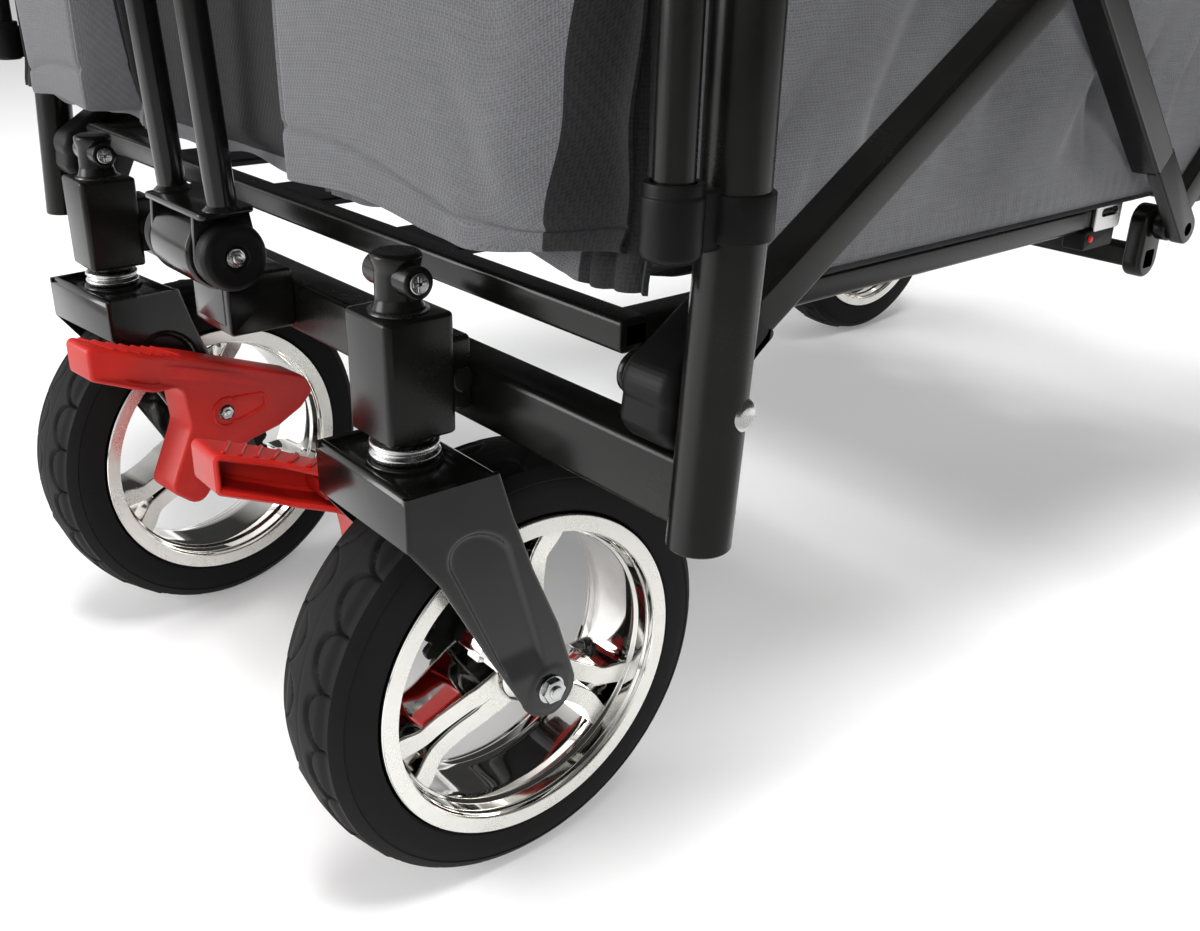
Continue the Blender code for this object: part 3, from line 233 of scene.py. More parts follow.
def sweep(outline, path, side=sideX, scale=None, end=0.0):
    # an outline (along side, across) carried along a flat path, with rounded ends and a scale for each ring
    path = np.array(path, float)
    outline = np.array(outline, float)
    side = np.array(side, float)
    t = along(path)
    scale = np.ones((len(path), 2)) if scale is None else np.array(scale, float)
    if end:
        size, steps = np.abs(outline).max(0), 3
        turn = np.linspace(0, math.pi / 2, steps + 1)[:-1]
        shrink = 1 - end * (1 - np.sin(turn))[:, None] / size
        shift = end * (1 - np.cos(turn))[:, None]
        path = np.concatenate((path[:1] + t[:1] * shift, path[:1] + t[:1] * end, path[1:-1],
                               path[-1:] - t[-1:] * end, path[-1:] - t[-1:] * shift[::-1]))
        t = np.concatenate((np.repeat(t[:1], steps + 1, 0), t[1:-1], np.repeat(t[-1:], steps + 1, 0)))
        scale = np.concatenate((scale[:1] * shrink, scale[:1], scale[1:-1], scale[-1:], scale[-1:] * shrink[::-1]))
    across = np.cross(side, t)
    u, v = scale[:, :1] * outline[:, 0], scale[:, 1:] * outline[:, 1]
    return rings(path[:, None] + u[..., None] * side + v[..., None] * across[:, None])


def pipe(radius, path, side=sideX, wall=0.0015, deep=0.03, count=32):
    # a tube that is open at both ends: inside wall, end ring, outside wall
    path = np.array(path, float)
    t = along(path)
    lip = wall / 3
    starts = [path[0] + t[0] * deep, path[0] + t[0] * lip, path[0], path[0], path[0] + t[0] * lip]
    ends = [path[-1] - t[-1] * lip, path[-1], path[-1], path[-1] - t[-1] * lip, path[-1] - t[-1] * deep]
    sizes = [radius - wall, radius - wall, radius - wall + lip, radius - lip, radius]
    centres = np.concatenate((starts, path[1:-1], ends))
    size = np.array(sizes + [radius] * (len(path) - 2) + sizes[::-1])
    tangents = np.concatenate((np.repeat(t[:1], 5, 0), t[1:-1], np.repeat(t[-1:], 5, 0)))
    across = np.cross(np.array(side, float), tangents)
    ring = circle(1.0, count)
    grid = centres[:, None] + size[:, None, None] * (
        ring[None, :, :1] * np.array(side, float) + ring[None, :, 1:] * across[:, None])
    return rings(grid)


def moved(shells, matrix):
    # the same shells through a matrix
    m = np.array(matrix, float)
    return [(shell[0] @ m[:3, :3].T + m[:3, 3], *shell[1:]) for shell in shells]


def mirrored(shells, side):
    # the same shells with x times 1 or -1
    return [(shell[0] * (side, 1, 1), *shell[1:]) for shell in shells]


def volumeOf(points, faces):
    # six times the signed volume, from a fan of triangles over every face
    total = 0.0
    for size in set(map(len, faces)):
        p = points[np.array([face for face in faces if len(face) == size])]
        for k in range(1, size - 1):
            total += np.sum(p[:, 0] * np.cross(p[:, k], p[:, k + 1]))
    return total


stemY = sum(corner.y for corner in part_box("swivel_ring_right")) / 2  # the plane of the caster stems
allPieces = {}


def piece(name, shells, finish, body, stands=(), sharp=35):
    # one object from its shells, faces outwards, placed from the plane of the stems
    shells = [shells] if isinstance(shells, tuple) else list(shells)
    points, faces, flats, start = [], [], [], 0
    for shell in shells:
        p = shell[0] + (0, stemY, 0)
        f = shell[1] if volumeOf(p - p.mean(0), shell[1]) > 0 else [face[::-1] for face in shell[1]]
        points.append(p)
        faces += [[index + start for index in face] for face in f] if start else f
        flats.append(shell[2] if len(shell) > 2 else np.zeros((len(p), 2)))
        start += len(p)
    mesh = bpy.data.meshes.new(name)
    mesh.from_pydata(np.concatenate(points).tolist(), [], faces)
    if any(len(shell) > 2 for shell in shells):
        corner = np.zeros(len(mesh.loops), int)
        mesh.loops.foreach_get("vertex_index", corner)
        mesh.uv_layers.new(name="cloth").data.foreach_set("uv", np.concatenate(flats)[corner].ravel())
    else:
        work = bmesh.new()
        work.from_mesh(mesh)
        bmesh.ops.remove_doubles(work, verts=work.verts, dist=0.000002)
        bmesh.ops.dissolve_degenerate(work, edges=work.edges, dist=0.0000005)
        work.to_mesh(mesh)
        work.free()
    mesh.shade_smooth()
    mesh.set_sharp_from_angle(angle=math.radians(sharp))
    made = bpy.data.objects.new(name, mesh)
    bpy.context.scene.collection.objects.link(made)
    made.data.materials.append(finishes[finish])
    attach(made, body)
    if stands:
        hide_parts(*stands)
    allPieces[name] = made
    return made


def named(word, side):
    # a piece name with its side
    return word + ("Right" if side > 0 else "Left")


def nodeNamed(word, side):
    # a CAD node or body name with its side
    return word + ("_right" if side > 0 else "_left")


# finishes: shared effects are groups that give only values, colours and heights

def newGroup(name, inputs, outputs):
    # an empty node group with named sockets
    group = bpy.data.node_groups.new(name, "ShaderNodeTree")
    for label, kind, value in inputs:
        socket = group.interface.new_socket(label, in_out="INPUT", socket_type="NodeSocket" + kind)
        if value is not None:
            socket.default_value = value
    for label, kind in outputs:
        group.interface.new_socket(label, in_out="OUTPUT", socket_type="NodeSocket" + kind)
    return group, group.nodes.new("NodeGroupInput"), group.nodes.new("NodeGroupOutput")


def node(tree, kind, links=(), **values):
    # a node with its plain values set and its sockets linked: links are (socket name or number, source)
    made = tree.nodes.new("ShaderNode" + kind)
    for key, value in values.items():
        if key.startswith("in_"):
            made.inputs[int(key[3:]) if key[3:].isdigit() else key[3:].replace("_", " ")].default_value = value
        else:
            setattr(made, key, value)
    for socket, source in links:
        tree.links.new(source, made.inputs[socket])
    return made


def maths(tree, operation, first, second=None):
    # one Math node; each operand is a number or another node's output
    made = tree.nodes.new("ShaderNodeMath")
    made.operation = operation
    for index, value in enumerate((first, second)):
        if value is None:
            continue
        if isinstance(value, (int, float)):
            made.inputs[index].default_value = value
        else:
            tree.links.new(value, made.inputs[index])
    return made.outputs[0]


def mottleGroup():
    # soft blotches and fine grain: a slow noise and a quick one, mixed by Share
    group, start, end = newGroup("mottle", [("Vector", "Vector", None), ("Size", "Float", 60.0),
                                            ("Grain", "Float", 900.0), ("Share", "Float", 0.4)],
                                 [("Blotch", "Float"), ("Grain", "Float"), ("Both", "Float")])
    slow = node(group, "TexNoise", [("Vector", start.outputs[0]), ("Scale", start.outputs[1])], in_Detail=3.0)
    quick = node(group, "TexNoise", [("Vector", start.outputs[0]), ("Scale", start.outputs[2])], in_Detail=2.0)
    both = node(group, "Mix", [(0, start.outputs[3]), (2, slow.outputs[0]), (3, quick.outputs[0])])
    for index, source in enumerate((slow.outputs[0], quick.outputs[0], both.outputs[0])):
        group.links.new(source, end.inputs[index])
    return group


def weaveGroup():
    # threads over and under: two sine ridges in the cloth's own flat coordinates, changing places like a chessboard
    group, start, end = newGroup("weave", [("Flat", "Vector", None), ("Threads", "Float", 1500.0),
                                           ("Slub", "Float", 0.3)], [("Height", "Float"), ("Shade", "Float")])
    parts = node(group, "SeparateXYZ", [(0, start.outputs[0])])
    u = maths(group, "MULTIPLY", parts.outputs[0], start.outputs[1])
    v = maths(group, "MULTIPLY", parts.outputs[1], start.outputs[1])
    ridgeU = maths(group, "ABSOLUTE", maths(group, "SINE", maths(group, "MULTIPLY", u, math.pi)))
    ridgeV = maths(group, "ABSOLUTE", maths(group, "SINE", maths(group, "MULTIPLY", v, math.pi)))
    turnU = maths(group, "FLOOR", u)
    turnV = maths(group, "FLOOR", maths(group, "MULTIPLY", v, 0.5))
    over = maths(group, "PINGPONG", maths(group, "ADD", turnU, turnV), 1.0)
    warp = maths(group, "MULTIPLY", ridgeU, maths(group, "SUBTRACT", 1.0, over))
    weft = maths(group, "MULTIPLY", ridgeV, over)
    height = maths(group, "ADD", warp, weft)
    stretch = node(group, "Mapping", [(0, start.outputs[0])], in_Scale=(60.0, 900.0, 1.0))
    slub = node(group, "TexNoise", [("Vector", stretch.outputs[0])], in_Scale=1.0, in_Detail=2.0)
    shade = maths(group, "ADD", maths(group, "MULTIPLY", height, 0.45),
                  maths(group, "MULTIPLY", slub.outputs[0], start.outputs[2]))
    group.links.new(height, end.inputs[0])
    group.links.new(shade, end.inputs[1])
    return group


mottle = mottleGroup()
weave = weaveGroup()
finishes = {}


def hardFinish(name, settings):
    # paint, plastic, metal and foam: colour from low to high by the blotches, roughness likewise, grain as bump
    made = bpy.data.materials.new(name)
    made.use_nodes = True
    tree = made.node_tree
    shader = tree.nodes["Principled BSDF"]
    where = node(tree, "TexCoord")
    marks = node(tree, "Group", node_tree=mottle, in_Size=settings["size"], in_Grain=settings["grain"],
                 in_Share=settings.get("share", 0.4))
    tree.links.new(where.outputs["Object"], marks.inputs["Vector"])
    ramp = node(tree, "ValToRGB", [(0, marks.outputs["Both"])])
    for stop, (spot, colour) in enumerate(((0.32, settings["dark"]), (0.68, settings["light"]))):
        ramp.color_ramp.elements[stop].position = spot
        ramp.color_ramp.elements[stop].color = (*colour, 1.0)
    tree.links.new(ramp.outputs[0], shader.inputs["Base Color"])
    low, high = settings["rough"]
    rough = node(tree, "MapRange", [(0, marks.outputs["Both"])], in_1=0.3, in_2=0.7, in_3=low, in_4=high)
    tree.links.new(rough.outputs[0], shader.inputs["Roughness"])
    bump = node(tree, "Bump", [("Height", marks.outputs["Grain"])], in_Strength=settings["bump"],
                in_Distance=settings["deep"])
    tree.links.new(bump.outputs[0], shader.inputs["Normal"])
    shader.inputs["Metallic"].default_value = settings.get("metal", 0.0)
    shader.inputs["Coat Weight"].default_value = settings.get("coat", 0.0)
    shader.inputs["Coat Roughness"].default_value = 0.12
    shader.inputs["Specular IOR Level"].default_value = settings.get("shine", 0.5)
    finishes[name] = made


def clothFinish(name, settings):
    # woven cloth in its own flat coordinates, with slow blotches of painted shade over the piece: random lighter and
    # darker patches that stand in for the shading of its folds
    made = bpy.data.materials.new(name)
    made.use_nodes = True
    tree = made.node_tree
    shader = tree.nodes["Principled BSDF"]
    flat = node(tree, "UVMap", uv_map="cloth")
    threads = node(tree, "Group", [("Flat", flat.outputs[0])], node_tree=weave, in_Threads=settings["threads"],
                   in_Slub=settings.get("slub", 0.3))
    where = node(tree, "TexCoord")
    # painted shade: slow blotches that darken and lighten the cloth's colour in place of fold shading; the same
    # blotches also set the roughness
    marks = node(tree, "Group", [("Vector", where.outputs["Object"])], node_tree=mottle, in_Size=14.0,
                 in_Grain=320.0, in_Share=0.35)
    # colour: the weave's own thread pattern plus the slow blotches of painted shade
    mixed = maths(tree, "ADD", maths(tree, "MULTIPLY", threads.outputs["Shade"], 0.75),
                  maths(tree, "MULTIPLY", marks.outputs["Both"], 0.5))
    ramp = node(tree, "ValToRGB", [(0, mixed)])
    for stop, (spot, colour) in enumerate(((0.25, settings["dark"]), (0.85, settings["light"]))):
        ramp.color_ramp.elements[stop].position = spot
        ramp.color_ramp.elements[stop].color = (*colour, 1.0)
    tree.links.new(ramp.outputs[0], shader.inputs["Base Color"])
    rough = node(tree, "MapRange", [(0, marks.outputs["Both"])], in_1=0.3, in_2=0.7, in_3=0.72, in_4=0.9)
    tree.links.new(rough.outputs[0], shader.inputs["Roughness"])
    bump = node(tree, "Bump", [("Height", threads.outputs["Height"])], in_Strength=settings["bump"],
                in_Distance=0.0002)
    tree.links.new(bump.outputs[0], shader.inputs["Normal"])
    shader.inputs["Sheen Weight"].default_value = settings.get("sheen", 0.15)
    shader.inputs["Sheen Roughness"].default_value = 0.5
    shader.inputs["Specular IOR Level"].default_value = 0.3
    finishes[name] = made


hardFinishes = {
    "blackPowder": ("black_powder_coat",
        dict(dark=(0.0022, 0.0022, 0.0019), light=(0.0048, 0.0046, 0.0041), size=45.0, shine=0.29, grain=1300.0,
             rough=(0.20, 0.29), bump=0.10, deep=0.0002, share=0.3)),
    "glossBlack": ("gloss_black_paint",
        dict(dark=(0.0018, 0.0018, 0.0017), light=(0.0040, 0.0039, 0.0036), size=60.0, shine=0.42, grain=700.0,
             rough=(0.15, 0.23), bump=0.05, deep=0.0002, share=0.25, coat=0.15)),
    "blackPlastic": ("black_plastic",
        dict(dark=(0.0018, 0.0018, 0.0018), light=(0.0042, 0.0042, 0.0041), size=80.0, shine=0.15, grain=2400.0,
             rough=(0.36, 0.48), bump=0.16, deep=0.00015, share=0.5)),
    "zincPlate": ("zinc_plate",
        dict(dark=(0.52, 0.53, 0.54), light=(0.78, 0.78, 0.76), size=130.0, grain=1500.0, rough=(0.16, 0.32),
             bump=0.06, deep=0.0001, metal=1.0)),
    "chromePlate": ("chrome",
        dict(dark=(0.74, 0.73, 0.70), light=(0.90, 0.89, 0.86), size=25.0, grain=160.0, rough=(0.03, 0.08),
             bump=0.03, deep=0.0002, metal=1.0, share=0.3)),
    "satinLip": ("chrome",
        dict(dark=(0.80, 0.785, 0.73), light=(0.90, 0.885, 0.84), size=50.0, grain=1200.0, rough=(0.24, 0.34),
             bump=0.02, deep=0.00005, metal=0.80)),
    "tyreFoam": ("tyre_foam",
        dict(dark=(0.0034, 0.0034, 0.0034), light=(0.0072, 0.0072, 0.0071), size=35.0, grain=1800.0,
             rough=(0.58, 0.74), bump=0.30, deep=0.0002, share=0.5, shine=0.14)),
    "redPlastic": ("red_plastic",
        dict(dark=(0.34, 0.010, 0.007), light=(0.45, 0.016, 0.011), size=50.0, grain=2200.0, rough=(0.34, 0.46),
             bump=0.12, deep=0.00015, share=0.4, shine=0.34)),
    "foamSleeve": ("foam_grip",
        dict(dark=(0.012, 0.012, 0.012), light=(0.026, 0.026, 0.026), size=90.0, grain=2600.0,
             rough=(0.75, 0.92), bump=0.5, deep=0.0003, share=0.6, shine=0.25)),
}
for finishName, (slotName, settings) in hardFinishes.items():
    hardFinish(finishName, settings)
clothFinishes = {
    "greyOxford": ("grey_oxford_cloth",
        dict(dark=(0.038, 0.038, 0.0415), light=(0.134, 0.134, 0.144), threads=950.0, bump=0.55)),
    "charcoalWeave": ("charcoal_cloth",
        dict(dark=(0.0025, 0.0025, 0.0028), light=(0.014, 0.014, 0.0152), threads=700.0, bump=0.5, sheen=0.03)),
}
for finishName, (slotName, settings) in clothFinishes.items():
    clothFinish(finishName, settings)
print("finishes made")

# wheels

def smooth01(value, low, high):
    # from 0 at low to 1 at high along an S curve
    t = np.clip((value - low) / (high - low), 0, 1)
    return t * t * (3 - 2 * t)


tyreSettings = dict(half=0.0228, treadHalf=0.0165, lobes=24, rowsPerLobe=18, columns=46, groove=0.0013, step=0.0011)


def tyreShells(radius, seat):
    # rows run round the wheel, closer together at each leaf's straight cut; columns run across the tread
    s = tyreSettings
    share = np.arange(s["lobes"] * s["rowsPerLobe"]) / s["rowsPerLobe"]
    lobe, p = np.floor(share), share % 1
    p = p - 0.127 * np.sin(2 * math.pi * p)
    angle = (lobe + p) * 2 * math.pi / s["lobes"]
    half, tread = s["half"], s["treadHalf"]
    across = np.linspace(-tread, tread, s["columns"])
    crown = radius - 0.0004 - 0.0006 * (across / 0.011) ** 2 - 0.0012 * smooth01(np.abs(across), 0.011, tread)
    wall = np.array([(radius - 0.0036, tread + 0.0022), (radius - 0.0062, half - 0.0018),
                     (radius - 0.0085, half - 0.0004), (radius - 0.0092, half - 0.0007),
                     (radius - 0.0100, half - 0.0002), (radius - 0.0150, half + 0.0004),
                     (seat + 0.0030, half + 0.0010), (seat + 0.0012, half + 0.0010),
                     (seat + 0.0004, half + 0.0003)])
    profile = np.concatenate((np.stack((crown, across), -1), wall, wall[::-1] * (1, -1)))
    r = np.broadcast_to(profile[:, 0], (len(angle), len(profile))).copy()
    x = profile[:, 1][None]
    pp = p[:, None]
    # the leaf's edge: cut straight in from the shoulder, round, then back out along the tread
    edge = 0.0148 - 0.0092 * np.sin(math.pi * np.clip(pp, 0, 1) ** 0.80) ** 0.75
    inside = np.abs(x) - edge
    pitch = 2 * math.pi * radius / s["lobes"]
    cutDistance = np.minimum(pp, 1 - pp) * pitch
    cut = np.exp(-(cutDistance / 0.0009) ** 2) * smooth01(np.abs(x), 0.0135, 0.0150)
    line = np.exp(-(inside / 0.0009) ** 2)
    onTread = smooth01(-np.abs(x), -tread - 0.003, -tread + 0.001)
    shelf = s["step"] * smooth01(inside, -0.0003, 0.0006) * (0.35 + 0.65 * (1 - pp))
    r -= onTread * (s["groove"] * np.maximum(cut, line) + shelf)
    r -= 0.00025 * np.exp(-(x / 0.0006) ** 2) * onTread
    grid = np.stack((np.broadcast_to(x, r.shape), r * np.cos(angle)[:, None], r * np.sin(angle)[:, None]), -1)
    points, faces = grid.reshape(-1, 3), gridFaces(*r.shape, True, True)
    return [(points, faces)]


rimSettings = dict(half=0.0248, lipWidth=0.0082, spokeAngles=(-35.0, 85.0, 205.0), hub=0.0150)


def rimShells(outer):
    # the lip is a flat ring at each side, the barrel steps down between them
    s = rimSettings
    half, lip = s["half"], s["lipWidth"]
    inner = outer - lip
    sideProfile = [(outer - 0.0003, 0.010), (outer - 0.0003, half - 0.0012), (outer - 0.0009, half),
                   (inner + 0.0005, half), (inner, half - 0.0006), (inner - 0.0004, half - 0.0028),
                   (inner - 0.0012, half - 0.0040), (inner - 0.0018, half - 0.0090),
                   (inner - 0.0034, half - 0.0100), (inner - 0.0040, half - 0.0150), (inner - 0.0040, 0.006)]
    profile = np.array(sideProfile + [(r, -h) for r, h in reversed(sideProfile)])
    return [turned(np.concatenate((soft(profile, 0.0005, 2), profile[:1])), 128, "x", closed=True)]


def lipShells(outer):
    # the satin face of each lip, a thin ring just proud of the barrel
    s = rimSettings
    half, inner = s["half"] - 0.0002, outer - s["lipWidth"]
    made = []
    for side in (1, -1):
        ring = [(inner + 0.0001, side * half), (inner + 0.0003, side * (half + 0.0004)),
                (outer - 0.0010, side * (half + 0.0004)), (outer - 0.0008, side * half)]
        made.append(turned(ring, 128, "x", closed=True))
    return made


def spokeShells(outer, capped=False):
    # each spoke is two bars that leave the hub together, part round a slot and flare into the barrel; capped
    # gives the satin faces of the bars alone
    s = rimSettings
    reach = outer - s["lipWidth"] - 0.0030
    r = np.concatenate((np.linspace(0.006, 0.030, 8), np.linspace(0.034, reach, 12)))
    share = r / reach
    width = 0.0100 - 0.0012 * smooth01(r, 0.018, 0.032) + 0.0016 * smooth01(share, 0.80, 1.0)
    slot = 0.0024 * smooth01(r, 0.022, 0.028) + 0.0012 * smooth01(share, 0.55, 0.78)
    slot = slot + 0.0110 * smooth01(share, 0.76, 1.02)
    middle = (width + slot) / 2 - 0.0003
    depth = 0.0160 - 0.0035 * smooth01(r, 0.014, 0.045) + 0.0020 * smooth01(share, 0.72, 1.0)
    outline = rounded([(1, -0.43), (1, 0.43), (0.93, 0.5), (-0.93, 0.5), (-1, 0.43), (-1, -0.43), (-0.93, -0.5),
                       (0.93, -0.5)], 0.03, 2)
    made = []
    for angle in np.radians(s["spokeAngles"]):
        radial = np.array((0, math.cos(angle), math.sin(angle)))
        tangent = np.array((0, -math.sin(angle), math.cos(angle)))
        for lean in (-1, 1):
            path = r[:, None] * radial + lean * middle[:, None] * tangent
            if capped:
                for face in (-1, 1):
                    top = path + face * (depth[:, None] - 0.0001) * np.array((1.0, 0, 0))
                    made.append(sweep(outline, top, sideX, np.stack((np.full(len(r), 0.0004), width * 0.94), -1)))
                continue
            made.append(sweep(outline, path, sideX, np.stack((depth, width), -1)))
        if capped:
            continue
        web = np.stack([(0.006 + 0.020 * t) * radial for t in np.linspace(0, 1, 4)])
        made.append(sweep(outline, web, sideX, np.stack((np.full(4, 0.0120), np.full(4, 0.012)), -1)))
    return made


def hubShells():
    # a stepped face turned about the axle, and a ring round the middle
    radius, half = rimSettings["hub"], tyreSettings["half"]
    face = [(0, half), (0.0055, half), (0.0058, half - 0.0012), (0.0085, half - 0.0012), (0.0088, half - 0.0002),
            (0.0105, half - 0.0002), (radius - 0.0012, half - 0.0030), (radius, half - 0.0060)]
    profile = np.array(face + [(radius, 0.0)] + [(r, -h) for r, h in reversed(face)])
    made = [turned(soft(profile, 0.0005, 2), 48)]
    ring = [(radius, -0.006), (radius + 0.0015, -0.004), (radius + 0.0015, 0.004), (radius, 0.006),
            (radius - 0.002, 0.0)]
    made.append(turned(ring, 48, closed=True))
    return made


def gearShells(side):
    # a toothed disc on the side of the pedal, with a raised ring
    teeth, inner = 16, -side
    share = np.arange(teeth * 6) / 6
    lobe = share % 1
    radius = 0.0224 + 0.0034 * (smooth01(lobe, 0.05, 0.25) - smooth01(lobe, 0.62, 0.85))
    turn = 2 * math.pi * share / teeth
    outline = np.stack((radius * np.cos(turn), radius * np.sin(turn)), -1)
    low, high = sorted((inner * 0.0234, inner * 0.0272))
    ringLow, ringHigh = sorted((inner * 0.0270, inner * 0.0285))
    return [prism(outline, "x", low, high, 0.0005, 2), rod(0.0120, ringLow, ringHigh, (0, 0), "x", 0.0004)]


casterSettings = dict(halfTrack=0.151, swivelRight=1.3, swivelLeft=-5.65, pedalPin=(0.025, 0.142))
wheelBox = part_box("front_rim_right")
axleHeight = (wheelBox[0].z + wheelBox[1].z) / 2
trail = math.hypot((wheelBox[0].x + wheelBox[1].x) / 2 - casterSettings["halfTrack"],
                   (wheelBox[0].y + wheelBox[1].y) / 2 - stemY)
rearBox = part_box("rear_rim_right")
rearTrack, rearHeight = (rearBox[0].x + rearBox[1].x) / 2, (rearBox[0].z + rearBox[1].z) / 2
rearAxle = (rearBox[0].y + rearBox[1].y) / 2 - stemY
rearRimRadius = (rearBox[1].z - rearBox[0].z) / 2
tyreRadius = (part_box("front_tyre_right")[1].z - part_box("front_tyre_right")[0].z) / 2
rearTyreRadius = (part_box("rear_tyre_right")[1].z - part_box("rear_tyre_right")[0].z) / 2
rimRadius = (wheelBox[1].z - wheelBox[0].z) / 2


def casterFrame(side):
    # the caster's own frame: origin on the ground under the stem, turned by its swivel
    angle = math.radians(casterSettings["swivelRight"] if side > 0 else casterSettings["swivelLeft"])
    return Matrix.Translation((side * casterSettings["halfTrack"], 0, 0)) @ Matrix.Rotation(-angle, 4, "Z")


def buildWheel(word, side, matrix, body, tyre, rim, geared):
    # tyre, rim, lip and hub of one wheel, moved from its own axle to its place
    for part, shells, finish, stands in (
        ("Tyre", tyreShells(tyre, rim), "tyreFoam", [nodeNamed(word + "_tyre", side)]),
        ("Rim", rimShells(rim) + spokeShells(rim), "chromePlate", [nodeNamed(word + "_rim", side)]),
        ("Lip", lipShells(rim) + spokeShells(rim, True), "satinLip", []),
        ("Hub", hubShells(), "chromePlate", []),
    ):
        piece(named(word + part, side), moved(shells, matrix), finish, body, stands)
    if geared:
        piece(named(word + "Gear", side), moved(gearShells(side), matrix), "blackPlastic", body,
              [nodeNamed("brake_gear", side)])


for side in (1, -1):
    spot = casterFrame(side) @ Matrix.Translation((0, trail, axleHeight))
    buildWheel("front", side, spot, nodeNamed("front_wheel", side), tyreRadius, rimRadius, True)
    spot = Matrix.Translation((side * rearTrack, rearAxle, rearHeight))
    buildWheel("rear", side, spot, nodeNamed("rear_wheel", side), rearTyreRadius, rearRimRadius, False)
print("wheels made")

# casters: fork, stem ring, bolts, housing

forkSettings = dict(half=0.035, sheet=0.003, front=0.021, top=0.208, skirt=0.186, tip=0.014, recess=0.0027)


def resample(line, count):
    # points at even distances along a broken line
    steps = np.concatenate(([0], np.cumsum(np.linalg.norm(np.diff(line, axis=0), axis=1))))
    at = np.linspace(0, steps[-1], count)
    return np.stack([np.interp(at, steps, line[:, k]) for k in range(line.shape[1])], -1)


def cheekShell(side):
    # a pressed plate between its front edge and its back edge, which meet at the tip; its outer face is
    # rounded at the edges and has an arched recess near the top
    s = forkSettings
    tip = (trail, axleHeight)
    front = rounded([(-0.021, 0.208), (-0.021, 0.186), (-0.007, 0.167), (0.011, 0.133), (0.026, 0.108)], 0.0001, 1)
    front = np.concatenate((front[2:-2], arcPoints(tip, s["tip"], 196, 280, 10)))
    front = np.concatenate(([(-0.021, 0.2075)], front[1:]))
    back = np.concatenate((np.array([(0.021, 0.2075), (0.027, 0.188), (0.037, 0.160), (trail + 0.005, 0.130)]),
                           arcPoints(tip, s["tip"], 364, 280, 10)))
    rows, cols = 130, 60
    a, b = resample(front, rows)[:, None], resample(back, rows)[:, None]
    t = np.sin(np.linspace(-1, 1, cols) * math.pi / 2)[None, :, None]
    flat = a * (1 - t) / 2 + b * (1 + t) / 2
    width = np.linalg.norm(b - a, axis=2)
    edge = width / 2 * (1 - np.abs(t[..., 0]))
    y, z = flat[..., 0], flat[..., 1]
    axisY = 0.0060 + (0.188 - z) * 0.36
    narrow = 0.0150 - 0.080 * np.clip(0.172 - z, 0, 0.06)
    oval = ((y - axisY) / narrow) ** 2 + (np.maximum(z - 0.172, 0) / 0.0140) ** 2
    recess = (1 - smooth01(oval, 0.62, 1.0)) * smooth01(z, 0.108, 0.124) * s["recess"]
    boss = 0.0005 * (1 - smooth01(np.hypot(y - tip[0], z - tip[1]), 0.009, 0.0125))
    rounding = 0.0012 * (1 - np.sqrt(np.clip(1 - (1 - np.clip(edge / 0.0022, 0, 1)) ** 2, 0, 1)))
    outer = s["half"] - 0.0002 - rounding - recess + boss
    inner = np.full_like(outer, s["half"] - s["sheet"]) - recess * 0.6 + rounding * 0.3
    return slab(np.stack((side * outer, y, z), -1), np.stack((side * inner, y, z), -1))


def forkShells(side):
    # the crown's section carried across, two cheeks, the stem's seat and the pedal's pin
    s = forkSettings
    half = s["half"] - 0.0010
    front, top = -s["front"], s["top"]
    # crown section in the side view: ridges along its front and back edges, a valley inside each
    crown = np.array([(front, s["skirt"]), (front, top - 0.0030), (front + 0.0012, top - 0.0008),
                      (front + 0.0030, top - 0.0001), (front + 0.0050, top - 0.0009),
                      (front + 0.0062, top - 0.0022), (front + 0.0090, top - 0.0018), (0.012, top - 0.0018),
                      (0.0148, top - 0.0022), (0.016, top - 0.0009), (0.0180, top - 0.0001),
                      (0.0198, top - 0.0008), (0.021, top - 0.0030), (0.021, top - 0.009), (0.018, top - 0.009),
                      (0.018, top - 0.0055), (front + 0.0032, top - 0.0055), (front + 0.0032, s["skirt"])])
    made = [prism(crown, "x", -half, half, 0.0004, 2), cheekShell(1), cheekShell(-1)]
    made.append(turned(soft([(0, top - 0.004), (0.0155, top - 0.004), (0.0150, top), (0.0120, top + 0.0004),
                             (0, top + 0.0004)], 0.0008), 40, "z"))
    made.append(rod(0.007, top - 0.002, top + 0.055, (0, 0), "z", 0.0005, 24))
    low, high = sorted((-side * (s["half"] - 0.0015), -side * 0.0655))
    made.append(rod(0.0044, low, high, casterSettings["pedalPin"], "x", 0.0006, 24))
    return made


def ringShells():
    # a bright pressed ring: a wide foot, a waist and a rolled top
    base = forkSettings["top"] + 0.0004
    profile = [(0.0073, 0.0), (0.0125, 0.0), (0.0138, 0.0010), (0.0140, 0.0026), (0.0126, 0.0038), (0.0124, 0.0046),
               (0.0139, 0.0056), (0.0136, 0.0070), (0.0120, 0.0078), (0.0073, 0.0078)]
    return [turned([(r, h + base) for r, h in soft(profile, 0.0004, 2)], 56, "z", closed=True)]


def boltShells(face, sign, reach, radius=0.0062, centre=(0.0, 0.0)):
    # a washer, a six-sided nut and the rounded end of the bolt, standing on a face across x
    washer = sorted((face, face + sign * 0.0010))
    nut = sorted((face + sign * 0.0009, face + sign * reach * 0.72))
    end = sorted((face, face + sign * reach))
    hexagon = circle(radius, 6) + centre
    return [rod(radius * 1.12, *washer, centre, "x", 0.0003, 32), prism(hexagon, "x", *nut, 0.0005, 2),
            rod(radius * 0.56, *end, centre, "x", 0.0009, 24)]


housingSettings = dict(half=0.015, low=0.219, high=0.267, corner=0.0030, capRadius=0.0094, capTop=0.289)


